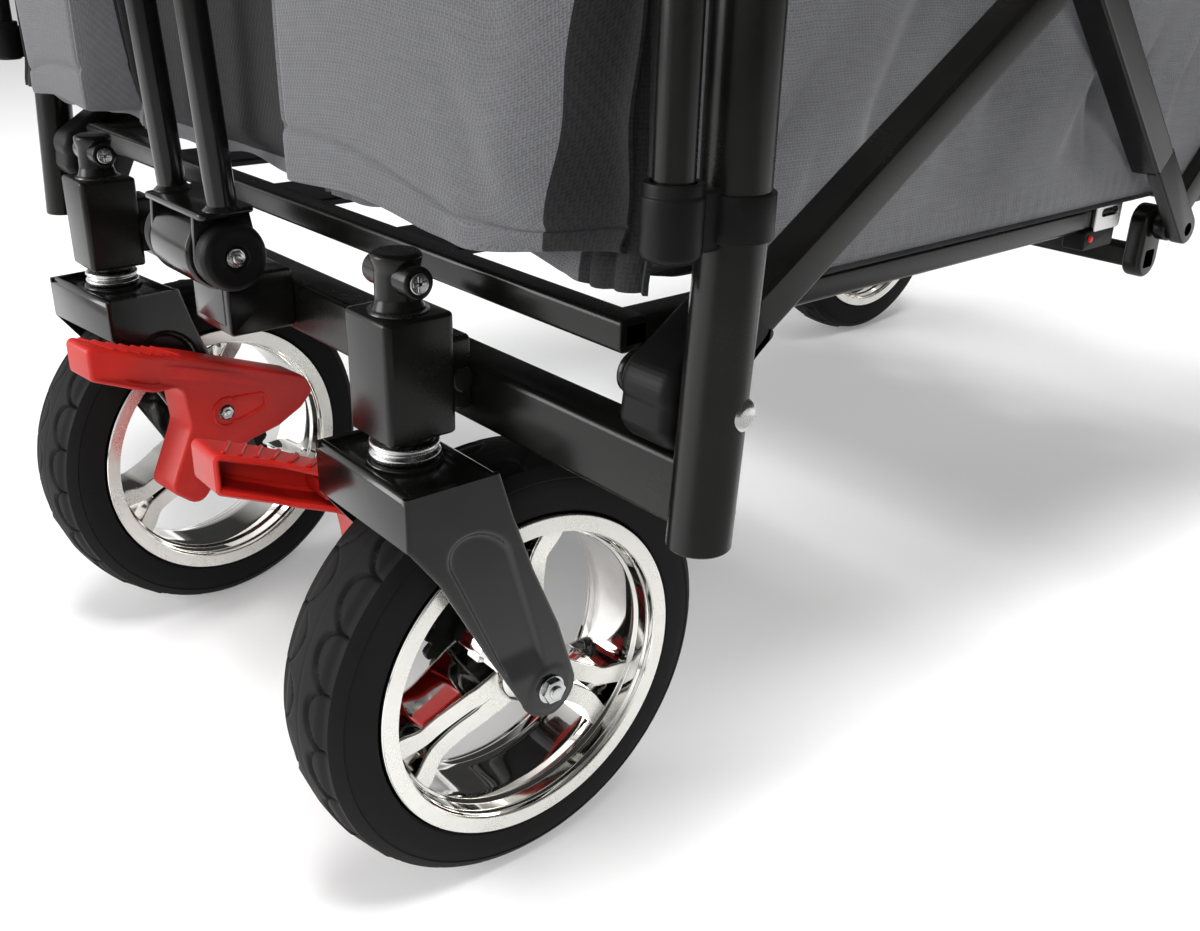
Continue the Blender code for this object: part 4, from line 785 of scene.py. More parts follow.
def housingShells(side):
    # a block with rounded edges, its foot, the boss towards the crossbar, and a turned cap
    s = housingSettings
    h, low, high = s["half"], s["low"], s["high"]
    made = [roundedBox((-h, -h, low), (h, h, high), s["corner"], 0.0016, "z", 5)]
    made.append(rod(0.0118, low - 0.0024, low + 0.002, (0, 0), "z", 0.0006, 40))
    made.append(roundedBox((-0.010, 0.008, low + 0.006), (0.010, 0.0247, high - 0.012), 0.002, 0.0008, "y"))
    made.append(rod(0.0050, 0.0, h - 0.0010, (0.0185, low + 0.020), "x", 0.0012, 24))
    cap = [(0, high - 0.002), (0.0108, high - 0.002), (0.0108, high + 0.0002),
           (s["capRadius"] + 0.0004, high + 0.0012), (s["capRadius"] - 0.0008, high + 0.0050),
           (s["capRadius"] - 0.0010, high + 0.0150), (s["capRadius"], high + 0.0185),
           (s["capRadius"] + 0.0002, s["capTop"] - 0.0012), (s["capRadius"] - 0.0012, s["capTop"]),
           (0, s["capTop"])]
    made.append(turned(soft(cap, 0.0008), 48, "z"))
    boss = high + 0.0128
    made.append(rod(0.0062, -0.0150, 0.0150, (0, boss), "x", 0.0012, 32))
    return moved(made, Matrix.Translation((side * casterSettings["halfTrack"], 0, 0)))


def housingBright(side):
    # the washer at the cap's foot and the cross screws in the boss
    s = housingSettings
    high = s["high"]
    boss = high + 0.0128
    washer = [(0.0100, high - 0.0002), (0.0114, high - 0.0002), (0.0116, high + 0.0006), (0.0100, high + 0.0008)]
    made = [turned(washer, 48, "z", closed=True)]
    for sign in (1, -1):
        ends = sorted((sign * 0.0143, sign * 0.0154))
        made.append(rod(0.0040, *ends, (0, boss), "x", 0.0005, 24))
        ends = sorted((sign * 0.0150, sign * 0.0157))
        for y, z in ((0.0030, 0.0009), (0.0009, 0.0030)):
            made.append(roundedBox((ends[0], -y, boss - z), (ends[1], y, boss + z), 0.0003, 0.0002, "x", 2))
    return moved(made, Matrix.Translation((side * casterSettings["halfTrack"], 0, 0)))


pedalSettings = dict(near=0.0405, far=0.0645, wall=0.0026, flare=0.0160, ribs=7,
                     outline=((-54.5, 202.5), (-54.5, 184), (-22, 169.5), (0, 164), (3, 138), (-13, 104), (4, 89.5),
                              (22, 114), (40, 121), (58, 124.5), (74, 132), (83, 141), (77, 151)),  # mm, y and z
                     corners=(3.0, 3.0, 14, 11, 12, 6, 8, 11, 9, 12, 9, 5, 7))


def flared(points, side):
    # the foot pad stands further from the wheel than the arm: points in front shift outwards
    s = pedalSettings
    shift = s["flare"] * smooth01(-points[:, 1], -0.012, 0.030) * smooth01(points[:, 2], 0.150, 0.168)
    return points + np.stack((-side * shift, np.zeros(len(shift)), np.zeros(len(shift))), -1)


def densify(outline, longest=0.004):
    # extra points on long straight runs, so that the flare can bend them
    ahead = np.roll(outline, -1, 0)
    made = []
    for here, after in zip(outline, ahead):
        count = max(1, int(np.linalg.norm(after - here) / longest))
        made.extend(here + (after - here) * t for t in np.linspace(0, 1, count, endpoint=False))
    return np.array(made)


def pedalShells(side):
    # a tray carried across from the outline, its ribs, the pad's slanting ridges and the bolt's rim
    s = pedalSettings
    inner = -side
    outline = densify(rounded(np.array(s["outline"]) / 1000, np.array(s["corners"]) / 1000, 5))
    made = [tray(outline, "x", inner * s["far"], inner * s["near"], s["wall"], 0.0018, 0.0030)]
    depth = sorted((inner * (s["near"] + 0.002), inner * (s["far"] - 0.002)))
    for low, high in (((-0.010, 0.180), (-0.0078, 0.170)), ((0.046, 0.122), (0.048, 0.163)),
                      ((0.008, 0.172), (0.0102, 0.120))):
        a, b = np.minimum(low, high), np.maximum(low, high)
        made.append(roundedBox((depth[0], a[0], a[1] + 0.0015), (depth[1], b[0] + 0.0002, b[1] - 0.0015), 0.0004,
                               0.0003, "x", 2))
    slope = (151 - 202.5) / (77 + 54.5)
    for k in range(s["ribs"]):
        y = -0.0440 + 0.0068 * k
        ends = np.array([(inner * (s["near"] + 0.003), y - 0.005), (inner * (s["far"] - 0.003), y + 0.005)])
        line = resample(ends, 8)
        z = 0.2025 + slope * (line[:, 1] + 0.0545) + 0.0003
        path = np.stack((line[:, 0], line[:, 1], z), -1)
        made.append(sweep(circle(0.0010, 10), path, (0, 0, 1), end=0.0008))
    made = [(flared(p, side), f) for p, f in made]
    drop = rounded([(0.0278, 0.1343), (0.0500, 0.1395), (0.0500, 0.1475), (0.0278, 0.1497)], 0.004, 4)[2:-2]
    drop = np.concatenate((arcPoints(casterSettings["pedalPin"], 0.0082, 70, 290, 16), drop))
    path = onAxis(np.concatenate((drop, drop[:1])), inner * (s["far"] + 0.0002), "x")
    made.append(sweep(circle(0.0011, 8), resample(path, 60), sideX))
    return made


for side in (1, -1):
    spot = casterFrame(side)
    body = nodeNamed("caster", side)
    piece(named("fork", side), moved(forkShells(side), spot), "glossBlack", body, [nodeNamed("fork", side)],
          sharp=62)
    piece(named("swivelRing", side), moved(ringShells(), spot), "zincPlate", body, [nodeNamed("swivel_ring", side)])
    shaft = [rod(0.0039, -0.036, 0.036, (trail, axleHeight), "x", 0.0005, 24)]
    for sign in (1, -1):
        shaft += boltShells(sign * 0.0352, sign, 0.0050, 0.0058, (trail, axleHeight))
    piece(named("wheelBolt", side), moved(shaft, spot), "zincPlate", body, [nodeNamed("caster_axle", side)])
    piece(named("casterHousing", side), housingShells(side), "blackPowder", "front_frame",
          [nodeNamed("caster_housing", side)])
    piece(named("housingScrews", side), housingBright(side), "zincPlate", "front_frame")
    piece(named("brakePedal", side), moved(pedalShells(side), spot), "redPlastic", nodeNamed("pedal", side),
          [nodeNamed("brake_pedal", side)], sharp=40)
    inner = -side
    head = boltShells(inner * 0.0640, inner, 0.0026, 0.0040, casterSettings["pedalPin"])
    piece(named("pedalBolt", side), moved(head, spot), "zincPlate", nodeNamed("pedal", side))
print("casters made")

# front and rear frames

frameSettings = dict(half=0.289, radius=0.0105, postY=0.028, footY=0.022, foot=0.2195, straight=0.320,
                     top=0.870, corner=0.040, barSize=0.020, barY=0.035, barZ=0.2305, pivotZ=0.265,
                     hingeY=0.058, hingeZ=0.2745, bracketX=0.2468)
midY = 0.3913  # the middle of the side linkage
rearPostY = 2 * midY - frameSettings["postY"]


def backward(shells):
    # the same shells in the rear bay, mirrored about the middle of the side linkage
    return [(shell[0] * (1, -1, 1) + (0, 2 * midY, 0), *shell[1:]) for shell in shells]


def bothSides(make, *values):
    # the right-hand shells and their mirror image
    return [shell for side in (1, -1) for shell in mirrored(make(*values), side)]


def squareBar(low, high, y, z, width, height, corner=0.0028, end=0.0008, axis="x"):
    # a square tube along one axis
    outline = box2(width, height, corner, 4)
    if axis == "x":
        return sweep(outline, [(low, y, z), ((low + high) / 2, y, z), (high, y, z)], (0, 1, 0), end=end)
    return sweep(outline, [(y, low, z), (y, (low + high) / 2, z), (y, high, z)], sideX, end=end)


def crossbarShells():
    # a square tube between the posts
    s = frameSettings
    reach = s["half"] - s["radius"] / 2
    return [squareBar(-reach, reach, s["barY"], s["barZ"] + 0.0002, s["barSize"], s["barSize"] + 0.0050)]


def hingeBracket():
    # a plate with a round top on the crossbar, and the pin that carries the floor half
    s = frameSettings
    y, foot = s["barY"], s["barZ"]
    x, hinge = s["bracketX"], (s["hingeY"], s["hingeZ"])
    outline = np.concatenate(([(y + 0.0085, foot), (y - 0.0070, foot)], arcPoints(hinge, 0.0080, 175, 5, 14)))
    return [prism(outline, "x", x, x + 0.0038, 0.0006, 2),
            rod(0.0029, x - 0.018, x + 0.0048, hinge, "x", 0.0006, 20),
            rod(0.0052, x + 0.0030, x + 0.0056, hinge, "x", 0.0008, 24)]


def pivotStud():
    # the pin of the lower bar and its spacer, from the bar to the post
    s = frameSettings
    spot = (s["postY"], s["pivotZ"])
    return [rod(0.0039, 0.2480, s["half"], spot, "x", 0.0005, 20),
            rod(0.0074, 0.2487, 0.2517, spot, "x", 0.0010, 28)]


def pivotDome():
    # a low dome turned about the pin, outside the post
    s = frameSettings
    x = s["half"] + 0.0050
    profile = [(0, x), (0.0054, x), (0.0055, x + 0.0038), (0.0050, x + 0.0052), (0.0034, x + 0.0063),
               (0.0012, x + 0.0067), (0, x + 0.0067)]
    return [turned(soft(profile, 0.0005), 32, "x", (0, s["postY"], s["pivotZ"]))]


def ringAt(section, soften, spot):
    # a closed section with softened corners, turned about an upright axis
    return turned(soft(np.array(section + section[:1]), soften, 2), 40, "z", spot, True)


poleSettings = dict(y=0.0035, radius=0.006, foot=0.316, socketTop=0.336, clampLow=0.660, clampHigh=0.686, top=0.900)


def poleSocket():
    # a moulded boot under the pole, with a web to the post
    p, s = poleSettings, frameSettings
    low, high, inner = p["foot"] - 0.0016, p["socketTop"], p["radius"] + 0.0004
    profile = [(0, low), (0.0074, low), (0.0088, low + 0.0016), (0.0090, high - 0.0040), (0.0084, high - 0.0034),
               (0.0084, high), (inner, high), (inner, p["foot"]), (0, p["foot"])]
    made = [turned(soft(profile, 0.0006, 2), 40, "z", (s["half"], p["y"], 0))]
    made.append(roundedBox((s["half"] - 0.0042, p["y"] + 0.0065, low + 0.001),
                           (s["half"] + 0.0042, s["postY"] - 0.005, high - 0.003), 0.0012, 0.0008, "y"))
    band = [(s["radius"] - 0.0005, low + 0.003), (s["radius"] + 0.0014, low + 0.003),
            (s["radius"] + 0.0014, high - 0.005), (s["radius"] - 0.0005, high - 0.005)]
    made.append(ringAt(band, 0.0006, (s["half"], s["postY"], 0)))
    return made


def poleClamp():
    # a guide round the pole and the post, with a web between them
    p, s = poleSettings, frameSettings
    low, high, inner = p["clampLow"], p["clampHigh"], p["radius"] + 0.0004
    ring = [(inner, low), (0.0096, low), (0.0096, high), (inner, high)]
    made = [turned(soft(np.array(ring + ring[:1]), 0.0007, 2), 40, "z", (s["half"], p["y"], 0), closed=True)]
    made.append(roundedBox((s["half"] - 0.0060, p["y"] + 0.0072, low + 0.0008),
                           (s["half"] + 0.0060, s["postY"] - 0.005, high - 0.0008), 0.0015, 0.0008, "y"))
    band = [(s["radius"] - 0.0005, low + 0.002), (s["radius"] + 0.0018, low + 0.002),
            (s["radius"] + 0.0018, high - 0.002), (s["radius"] - 0.0005, high - 0.002)]
    made.append(ringAt(band, 0.0007, (s["half"], s["postY"], 0)))
    return made


def frontPosts():
    # one round tube: up from the foot, a slight bend, over the top and down again
    s = frameSettings
    h, y = s["half"], s["postY"]
    corners = [(h, s["footY"], s["foot"]), (h, y, s["straight"]), (h, y, s["top"]), (-h, y, s["top"]),
               (-h, y, s["straight"]), (-h, s["footY"], s["foot"])]
    path = bent(corners, (0.05, s["corner"], s["corner"], 0.05), 12)
    return [pipe(s["radius"], path, (0, 1, 0), 0.0015, 0.03, 40)]


piece("frontPosts", frontPosts() + crossbarShells() + bothSides(hingeBracket), "blackPowder", "front_frame",
      ["front_hoop"])
piece("frontPivots", bothSides(pivotStud), "blackPowder", "front_frame")
piece("frontPivotDomes", bothSides(pivotDome), "zincPlate", "front_frame")
piece("poleSockets", bothSides(poleSocket), "blackPlastic", "front_frame")
piece("poleClamps", bothSides(poleClamp), "blackPlastic", "front_frame")


def bowPath():
    # up one pole, over with two bends, and down the other
    p, s = poleSettings, frameSettings
    h, y = s["half"], p["y"]
    return bent([(h, y, p["foot"] + 0.0003), (h, y, p["top"]), (-h, y, p["top"]), (-h, y, p["foot"] + 0.0003)],
                (0.040, 0.040), 12)


piece("canopyBow", pipe(poleSettings["radius"], bowPath(), (0, 1, 0), 0.001, 0.02, 32), "blackPowder", "canopy_bow",
      ["canopy_bow"])

rearSettings = dict(legX=0.222, legSize=0.018, tip=0.016, root=0.013, pushBend=0.840, pushReach=0.075,
                    pushTop=0.965, corner=0.050, gripHalf=0.150, gripRadius=0.0158)


def rearPosts():
    # one round tube whose path is smoothed by cutting its corners three times
    s, r = frameSettings, rearSettings
    h, y = s["half"], rearPostY
    # up the post, a bend back, then over the push handle
    high = (y + 0.16 * r["pushReach"], r["pushBend"] + 0.030)
    legs = [(h, y, s["foot"]), (h, y, r["pushBend"]), (h, *high)]
    for a, b in arcPoints((0.0, 0.0), r["corner"], 0, 90, 6):
        back = r["pushReach"] * (1.0 - 0.13 * (1.0 - b / r["corner"]))
        legs.append((h - r["corner"] + a, y + back, r["pushTop"] - r["corner"] + b))
    legs = np.array(legs)
    corners = np.concatenate((legs, legs[::-1] * (-1, 1, 1)))
    path = corners
    for _ in range(3):  # corner cutting, which keeps the ends
        near, far = path[:-1] * 0.75 + path[1:] * 0.25, path[:-1] * 0.25 + path[1:] * 0.75
        path = np.concatenate((path[:1], np.stack((near, far), 1).reshape(-1, 3), path[-1:]))
    return [pipe(s["radius"], path, (0, 0.93, -0.37), 0.0015, 0.03, 40)]


def rearLeg():
    # a plate with two round ends, and a raised middle
    s, r = frameSettings, rearSettings
    start, end = np.array((rearPostY, s["barZ"])), np.array((rearAxle, rearHeight))
    angle = math.degrees(math.atan2(*(end - start)[::-1]))
    outline = np.concatenate((arcPoints(end, r["tip"], angle - 90, angle + 90, 14),
                              arcPoints(start, r["root"], angle + 90, angle + 270, 14)))
    low, high = r["legX"] - r["legSize"] / 2, r["legX"] + r["legSize"] / 2
    rib = inset(outline, 0.0045)
    return [prism(outline, "x", low + 0.001, high - 0.001, 0.0016, 3), prism(rib, "x", low, high, 0.0012, 3)]


def rearBolt():
    # the stub axle with its washer and nut
    r = rearSettings
    spot = (rearAxle, rearHeight)
    low = r["legX"] - r["legSize"] / 2
    return [rod(0.0090, low - 0.0030, low - 0.0002, spot, "x", 0.0010, 32),
            rod(0.0058, low - 0.001, r["legX"] + r["legSize"] / 2 + 0.003, spot, "x", 0.0005),
            rod(0.0039, r["legX"], rearTrack + 0.0265, spot, "x", 0.0005),
            *boltShells(rearTrack + 0.0240, 1, 0.0050, 0.0062, spot)]


rearBar = backward(crossbarShells() + bothSides(hingeBracket))
piece("rearPosts", rearPosts() + rearBar + bothSides(rearLeg), "blackPowder", "rear_frame", ["rear_hoop"])
piece("rearPivots", backward(bothSides(pivotStud)), "blackPowder", "rear_frame")
piece("rearPivotDomes", backward(bothSides(pivotDome)), "zincPlate", "rear_frame")
piece("rearAxles", bothSides(rearBolt), "zincPlate", "rear_frame", ["rear_axle_right", "rear_axle_left"])


def gripSleeve():
    # a foam sleeve with rounded rims and shallow rings near its ends
    s, r = frameSettings, rearSettings
    x = np.linspace(-r["gripHalf"] + 0.004, r["gripHalf"] - 0.004, 120)
    ring = 0.0006 * (np.exp(-((np.abs(x) - 0.138) / 0.0014) ** 2) + np.exp(-((np.abs(x) - 0.132) / 0.0014) ** 2))
    body = np.stack((r["gripRadius"] - ring, x), -1)
    edge = [(s["radius"] + 0.0002, r["gripHalf"]), (r["gripRadius"] - 0.0016, r["gripHalf"]),
            (r["gripRadius"] - 0.0004, r["gripHalf"] - 0.0014)]
    profile = np.concatenate((np.array(edge) * (1, -1), body, np.array(edge[::-1])))
    return [turned(profile, 48, "x", (0, rearPostY + r["pushReach"], r["pushTop"]), True)]


piece("pushGrip", gripSleeve(), "foamSleeve", "rear_frame", ["push_grip"])
print("frames made")

# side linkage

armSettings = dict(size=0.015, outerX=0.2700, innerX=0.2540, lap=0.052, lapGap=0.0005, edge=0.0018)
footPin = np.array((0.028, 0.265))
crossPin = np.array((0.245, 0.4055))
sliderPin = np.array((0.028, 0.614))
slopeA = (crossPin[1] - footPin[1]) / (crossPin[0] - footPin[0])
slopeB = (sliderPin[1] - crossPin[1]) / (crossPin[0] - sliderPin[0])
topPin = np.array((midY, footPin[1] + (midY - footPin[0]) * slopeA))
lowPin = np.array((midY, sliderPin[1] - (midY - footPin[0]) * slopeB))


def flip(point):
    # the point opposite, beyond the middle of the linkage
    return np.array((2 * midY - point[0], point[1]))


def armShells(start, end, middle, keepsOuter):
    # a square tube with a round pinned end, halved at its far end where it laps the next one
    s = armSettings
    r = s["size"] / 2
    way = (end - start) / np.linalg.norm(end - start)
    angle = math.degrees(math.atan2(way[1], way[0]))
    across = np.array((-way[1], way[0])) * r
    stop = end - way * s["lap"]
    body = np.concatenate(([stop - across, stop + across], arcPoints(start, r, angle + 90, angle + 270, 12)))
    tongue = np.concatenate((arcPoints(end, r, angle - 90, angle + 90, 12),
                             [stop - way * 0.002 + across, stop - way * 0.002 - across]))
    low, high = (middle + s["lapGap"], middle + r) if keepsOuter else (middle - r, middle - s["lapGap"])
    return [prism(body, "x", middle - r, middle + r, s["edge"], 4), prism(tongue, "x", low, high, 0.0010, 3)]


def buttonShells(x, reach, radius, centre, sign=1):
    # a flat rivet head with a dished middle
    profile = [(0, x), (radius, x), (radius, x + sign * reach * 0.55), (radius * 0.82, x + sign * reach),
               (radius * 0.45, x + sign * reach), (radius * 0.36, x + sign * reach * 0.7),
               (0, x + sign * reach * 0.7)]
    return [turned(soft(profile, 0.0004, 2), 32, "x", (0, *centre))]


def topHead():
    # the rivet head at the top of bar A
    s = armSettings
    return buttonShells(s["outerX"] + s["size"] / 2 - 0.0005, 0.0034, 0.0074, topPin)


def rivetShells(point):
    # a pin through both bars and its head
    s = armSettings
    outside = s["outerX"] + s["size"] / 2
    inside = s["innerX"] - s["size"] / 2
    return [rod(0.0038, inside - 0.0002, outside + 0.001, point, "x", 0.0005, 20),
            *buttonShells(outside + 0.0001, 0.0032, 0.0074, point)]


def sidePieces(finish, rows, sharp=35):
    # each row, made for the right side and then for the left: piece, shells, body, CAD node
    for side in (1, -1):
        for word, shells, body, stood in rows:
            piece(named(word, side), mirrored(shells, side), finish, body, [nodeNamed(stood, side)], sharp=sharp)


def bootShells():
    # a rounded moulding over the foot of the lower bar, with a lobe under the pivot
    s = armSettings
    way = (topPin - footPin) / np.linalg.norm(topPin - footPin)
    angle = math.degrees(math.atan2(way[1], way[0]))
    across = np.array((-way[1], way[0]))
    half = s["size"] / 2 + 0.0036
    far = footPin + way * 0.040
    lobe = footPin - (0, 0.008)
    outline = np.concatenate((arcPoints(footPin, half, angle + 90, 200, 10), arcPoints(lobe, 0.0118, 196, 340, 16),
                              [far - across * half, far + across * half]))
    outline = rounded(outline, np.concatenate((np.full(len(outline) - 2, 0.0002), (0.0022, 0.0022))), 3)
    low, high = 0.2522, s["outerX"] + s["size"] / 2 + 0.0003
    return [prism(outline, "x", low, high, 0.0062, 8)]


def sliderShells():
    # a moulded block that runs on the post, with two grooves and the pin of the upper bar
    s = armSettings
    low, high = s["innerX"] + s["size"] / 2 + 0.0008, frameSettings["half"] - frameSettings["radius"] - 0.0008
    y, z = sliderPin
    made = [roundedBox((low, y - 0.0098, z - 0.0138), (high, y + 0.0098, z + 0.0138), 0.0022, 0.0014, "x")]
    for k in (-0.006, 0.006):
        made.append(roundedBox((low + 0.0015, y - 0.0102, z + k - 0.0012),
                               (high - 0.0015, y + 0.0102, z + k + 0.0012), 0.0005, 0.0004, "y"))
    inside = s["innerX"] - s["size"] / 2
    made.append(rod(0.0039, inside - 0.0002, low + 0.004, (y, z), "x", 0.0005, 20))
    made += buttonShells(inside - 0.0002, 0.0012, 0.0039, (y, z), -1)
    return made


outerBar, innerBar = armSettings["outerX"], armSettings["innerX"]
sidePieces("blackPowder", (
    ("armA", armShells(footPin, topPin, outerBar, True) + topHead(), "arms_a", "arm_a"),
    ("armB", armShells(sliderPin, lowPin, innerBar, True), "arms_b", "arm_b"),
    ("armC", armShells(flip(sliderPin), lowPin, innerBar, False), "arms_c", "arm_c"),
    ("armD", armShells(flip(footPin), topPin, outerBar, False), "arms_d", "arm_d")))
sidePieces("zincPlate", (
    ("frontRivet", rivetShells(crossPin), "arms_a", "cross_rivet_front"),
    ("rearRivet", backward(rivetShells(crossPin)), "arms_d", "cross_rivet_rear")))
sidePieces("blackPlastic", (
    ("frontBoot", bootShells(), "arms_a", "arm_foot_front"),
    ("rearBoot", backward(bootShells()), "arms_d", "arm_foot_rear")), sharp=45)
sidePieces("blackPlastic", (
    ("frontSlider", sliderShells(), "sliders_front", "slider_front"),
    ("rearSlider", backward(sliderShells()), "sliders_rear", "slider_rear")))

midSettings = dict(tube=0.011, z=lowPin[1] - 0.0184, end=0.2450, strip=0.200)


def midShells():
    # a square tube across, its lugs and pins, and the strip on top
    m = midSettings
    z, end = m["z"], m["end"]
    made = [squareBar(-end, end, midY, z, m["tube"], m["tube"], 0.0018)]
    made.append(roundedBox((-m["strip"], midY - 0.015, 0.2705), (m["strip"], midY + 0.015, 0.2803), 0.0015, 0.0008,
                           "x"))
    for side in (1, -1):
        low, high = sorted((side * (end - 0.010), side * end))
        lug = np.concatenate((arcPoints((midY, z - 0.0005), 0.0094, 180, 360, 14),
                              arcPoints(lowPin, 0.0092, 0, 180, 14)))
        made.append(prism(lug, "x", low, high, 0.0020, 4))
        low, high = sorted((side * (end - 0.004), side * (armSettings["innerX"] + armSettings["size"] / 2)))
        made.append(rod(0.0039, low, high, lowPin, "x", 0.0005, 20))
        made.append(roundedBox((side * 0.120 - 0.008, midY - 0.004, z),
                               (side * 0.120 + 0.008, midY + 0.004, 0.2785), 0.001, 0.0005, "z"))
    return made


piece("midCross", midShells(), "blackPowder", "mid_cross", ["mid_cross_tube"])
print("linkage made")

# floor halves, locks and mats

floorSettings = dict(half=0.2425, rail=0.014, low=0.2685, high=0.2805, front=0.028, bar=0.012,
                     end=midY - 0.0393, slats=(-0.110, 0.0, 0.110), slat=0.045)


def floorShells():
    # front and rear bars, two rails, and three slats with their rivets
    f = floorSettings
    z, deep = (f["low"] + f["high"]) / 2, f["high"] - f["low"]
    made = [squareBar(-f["half"], f["half"], f["front"] + f["bar"] / 2, z, f["bar"], deep, 0.0022)]
    made.append(squareBar(0.002 - f["half"], f["half"] - 0.002, f["end"] - f["bar"] / 2 - 0.0003, z,
                          f["bar"] - 0.0006, deep - 0.0018, 0.0020))
    for side in (1, -1):
        x = side * (f["half"] - f["rail"] / 2)
        made.append(squareBar(f["front"] + 0.002, f["end"], x, z, f["rail"], deep - 0.0010, 0.0022, axis="y"))
    for x in f["slats"]:
        made.append(roundedBox((x - f["slat"] / 2, f["front"] + 0.004, f["high"] - 0.004),
                               (x + f["slat"] / 2, f["end"] - 0.006, f["high"] - 0.0003), 0.001, 0.0006, "y"))
        for y in (f["front"] + 0.020, f["end"] - 0.020):
            made.append(turned(soft([(0, f["high"] - 0.0048), (0.0035, f["high"] - 0.0048),
                                     (0.0035, f["high"] - 0.0036), (0, f["high"] - 0.0036)], 0.0004), 20, "z",
                               (x, y, 0)))
    return made


def lockShells():
    # a pressed plate with a slot, standing on the rail's outer face near its end
    f = floorSettings
    outline = box2(0.024, 0.0150, 0.0022) + (f["end"] - 0.0115, 0.2760)
    slot = box2(0.0150, 0.0042, 0.0020) + (f["end"] - 0.0110, 0.2772)
    count = 24
    pair = [resample(np.concatenate((line, line[:1])), count * 4 + 1)[:-1] for line in (outline, slot)]
    x, thick = f["half"] + 0.0004, 0.0016
    pair[1] = np.roll(pair[1], -np.argmin(np.linalg.norm(pair[1] - slot[0], axis=1)), 0)
    pair[0] = np.roll(pair[0], -np.argmin(np.linalg.norm(pair[0] - outline[0], axis=1)), 0)
    cuts = [onAxis(pair[0], x, "x"), onAxis(pair[0], x + thick - 0.0004, "x"),
            onAxis(inset(pair[0], 0.0004), x + thick, "x"), onAxis(pair[1], x + thick, "x"), onAxis(pair[1], x, "x")]
    return [rings(np.stack(cuts), True)]


def latchShells():
    # a block under the rail's end and the bolt in the lock's slot
    f = floorSettings
    x, y = f["half"] + 0.0002, f["end"]
    made = [roundedBox((x - 0.010, y - 0.0300, 0.2600), (x + 0.0012, y - 0.0020, 0.2695), 0.0016, 0.0010, "x")]
    made.append(roundedBox((x - 0.001, y - 0.0180, 0.2762), (x + 0.0012, y - 0.0060, 0.2784), 0.0008, 0.0004, "x"))
    return made


def latchDot():
    # a small round stud on the latch
    f = floorSettings
    return [rod(0.0016, f["half"] + 0.0010, f["half"] + 0.0026, (f["end"] - 0.0250, 0.2655), "x", 0.0004, 16)]


piece("floorFrameFront", floorShells(), "blackPowder", "floor_front", ["floor_frame_front"])
piece("floorFrameRear", backward(floorShells()), "blackPowder", "floor_rear", ["floor_frame_rear"])
piece("floorLocks", bothSides(lockShells), "zincPlate", "floor_front")
piece("floorLatches", bothSides(latchShells), "blackPlastic", "floor_front")
piece("latchDots", bothSides(latchDot), "redPlastic", "floor_front")

# pull handle

handleSettings = dict(y=-0.008, z=0.262, lean=3.0, barrel=0.017, blockHalf=0.0185, tubeX=0.026, tube=0.0065,
                      slide=0.0050, roof=0.0206, sheet=0.003, half=0.0305, front=0.0125, back=0.0130,
                      length=0.520, reach=0.030, gripRadius=0.015, gripHalf=0.062)
handleFrame = Matrix.Translation((0, handleSettings["y"], handleSettings["z"]))
handleFrame = handleFrame @ Matrix.Rotation(math.radians(handleSettings["lean"]), 4, "X")


def hingeBlock():
    # a block on the crossbar and a barrel turned about the hinge
    h = handleSettings
    half = h["blockHalf"]
    made = [roundedBox((-half, -0.008, 0.222), (half, 0.0247, 0.250), 0.0022, 0.0012, "x")]
    profile = [(0.0054, -0.020), (h["barrel"] - 0.0012, -0.020), (h["barrel"], -0.0188)]
    profile = np.array(profile + [(r, -x) for r, x in reversed(profile)])
    made.append(turned(soft(np.concatenate((profile, profile[:1])), 0.0003, 2), 56, "x", (0, h["y"], h["z"]), True))
    made.append(roundedBox((-0.0150, -0.0085, 0.226), (0.0150, -0.006, 0.2445), 0.0015, 0.0008, "y"))
    return made


def yokeShells():
    # a plate with two ears, a tube on each side, and a weld round each tube
    h = handleSettings
    floor, roof = h["roof"] - h["sheet"], h["roof"]
    made = [roundedBox((-h["half"], -h["front"], floor), (h["half"], h["back"], roof), 0.0030, 0.0010, "z")]
    for side in (1, -1):
        low, high = sorted((side * 0.0206, side * 0.0236))
        ear = np.concatenate(([(h["back"], floor + 0.001), (-h["front"], floor + 0.001)],
                              arcPoints((0, 0), 0.0149, 180, 360, 20)))
        made.append(prism(ear, "x", low, high, 0.0007, 2))
        path = [(side * h["tubeX"], 0, roof - 0.001), (side * h["tubeX"], 0, 0.3),
                (side * h["tubeX"], 0, roof + h["length"])]
        made.append(pipe(h["tube"], path, sideX, 0.0011, 0.05, 36))
        weld = [(h["tube"] - 0.0005, roof - 0.0005), (h["tube"] + 0.0022, roof),
                (h["tube"] + 0.0008, roof + 0.0012), (h["tube"] - 0.0005, roof + 0.0026)]
        made.append(ringAt(weld, 0.0005, (side * h["tubeX"], 0, 0)))
    return made


def collarShells():
    # moulded collars at the tops of the outer tubes
    h = handleSettings
    top = h["roof"] + h["length"]
    ring = [(h["slide"] + 0.0002, top - 0.002), (h["tube"] + 0.0010, top - 0.012),
            (h["tube"] + 0.0016, top + 0.0016), (h["slide"] + 0.0002, top + 0.0022)]
    return [ringAt(ring, 0.0005, (side * h["tubeX"], 0, 0)) for side in (1, -1)]


def knobShells():
    # the pin, and a dished cap turned about it at each end
    near, far = 0.0238, 0.0338
    made = [rod(0.0048, -near - 0.002, near + 0.002, (0, 0), "x", 0.0005, 24)]
    profile = [(0, near), (0.0148, near), (0.0154, near + 0.0012), (0.0154, far - 0.0040), (0.0142, far - 0.0012),
               (0.0120, far), (0.0058, far - 0.0003), (0.0052, far - 0.0020), (0, far - 0.0020)]
    knob = [turned(soft(profile, 0.0008), 56)]
    return made + knob + mirrored(knob, -1)


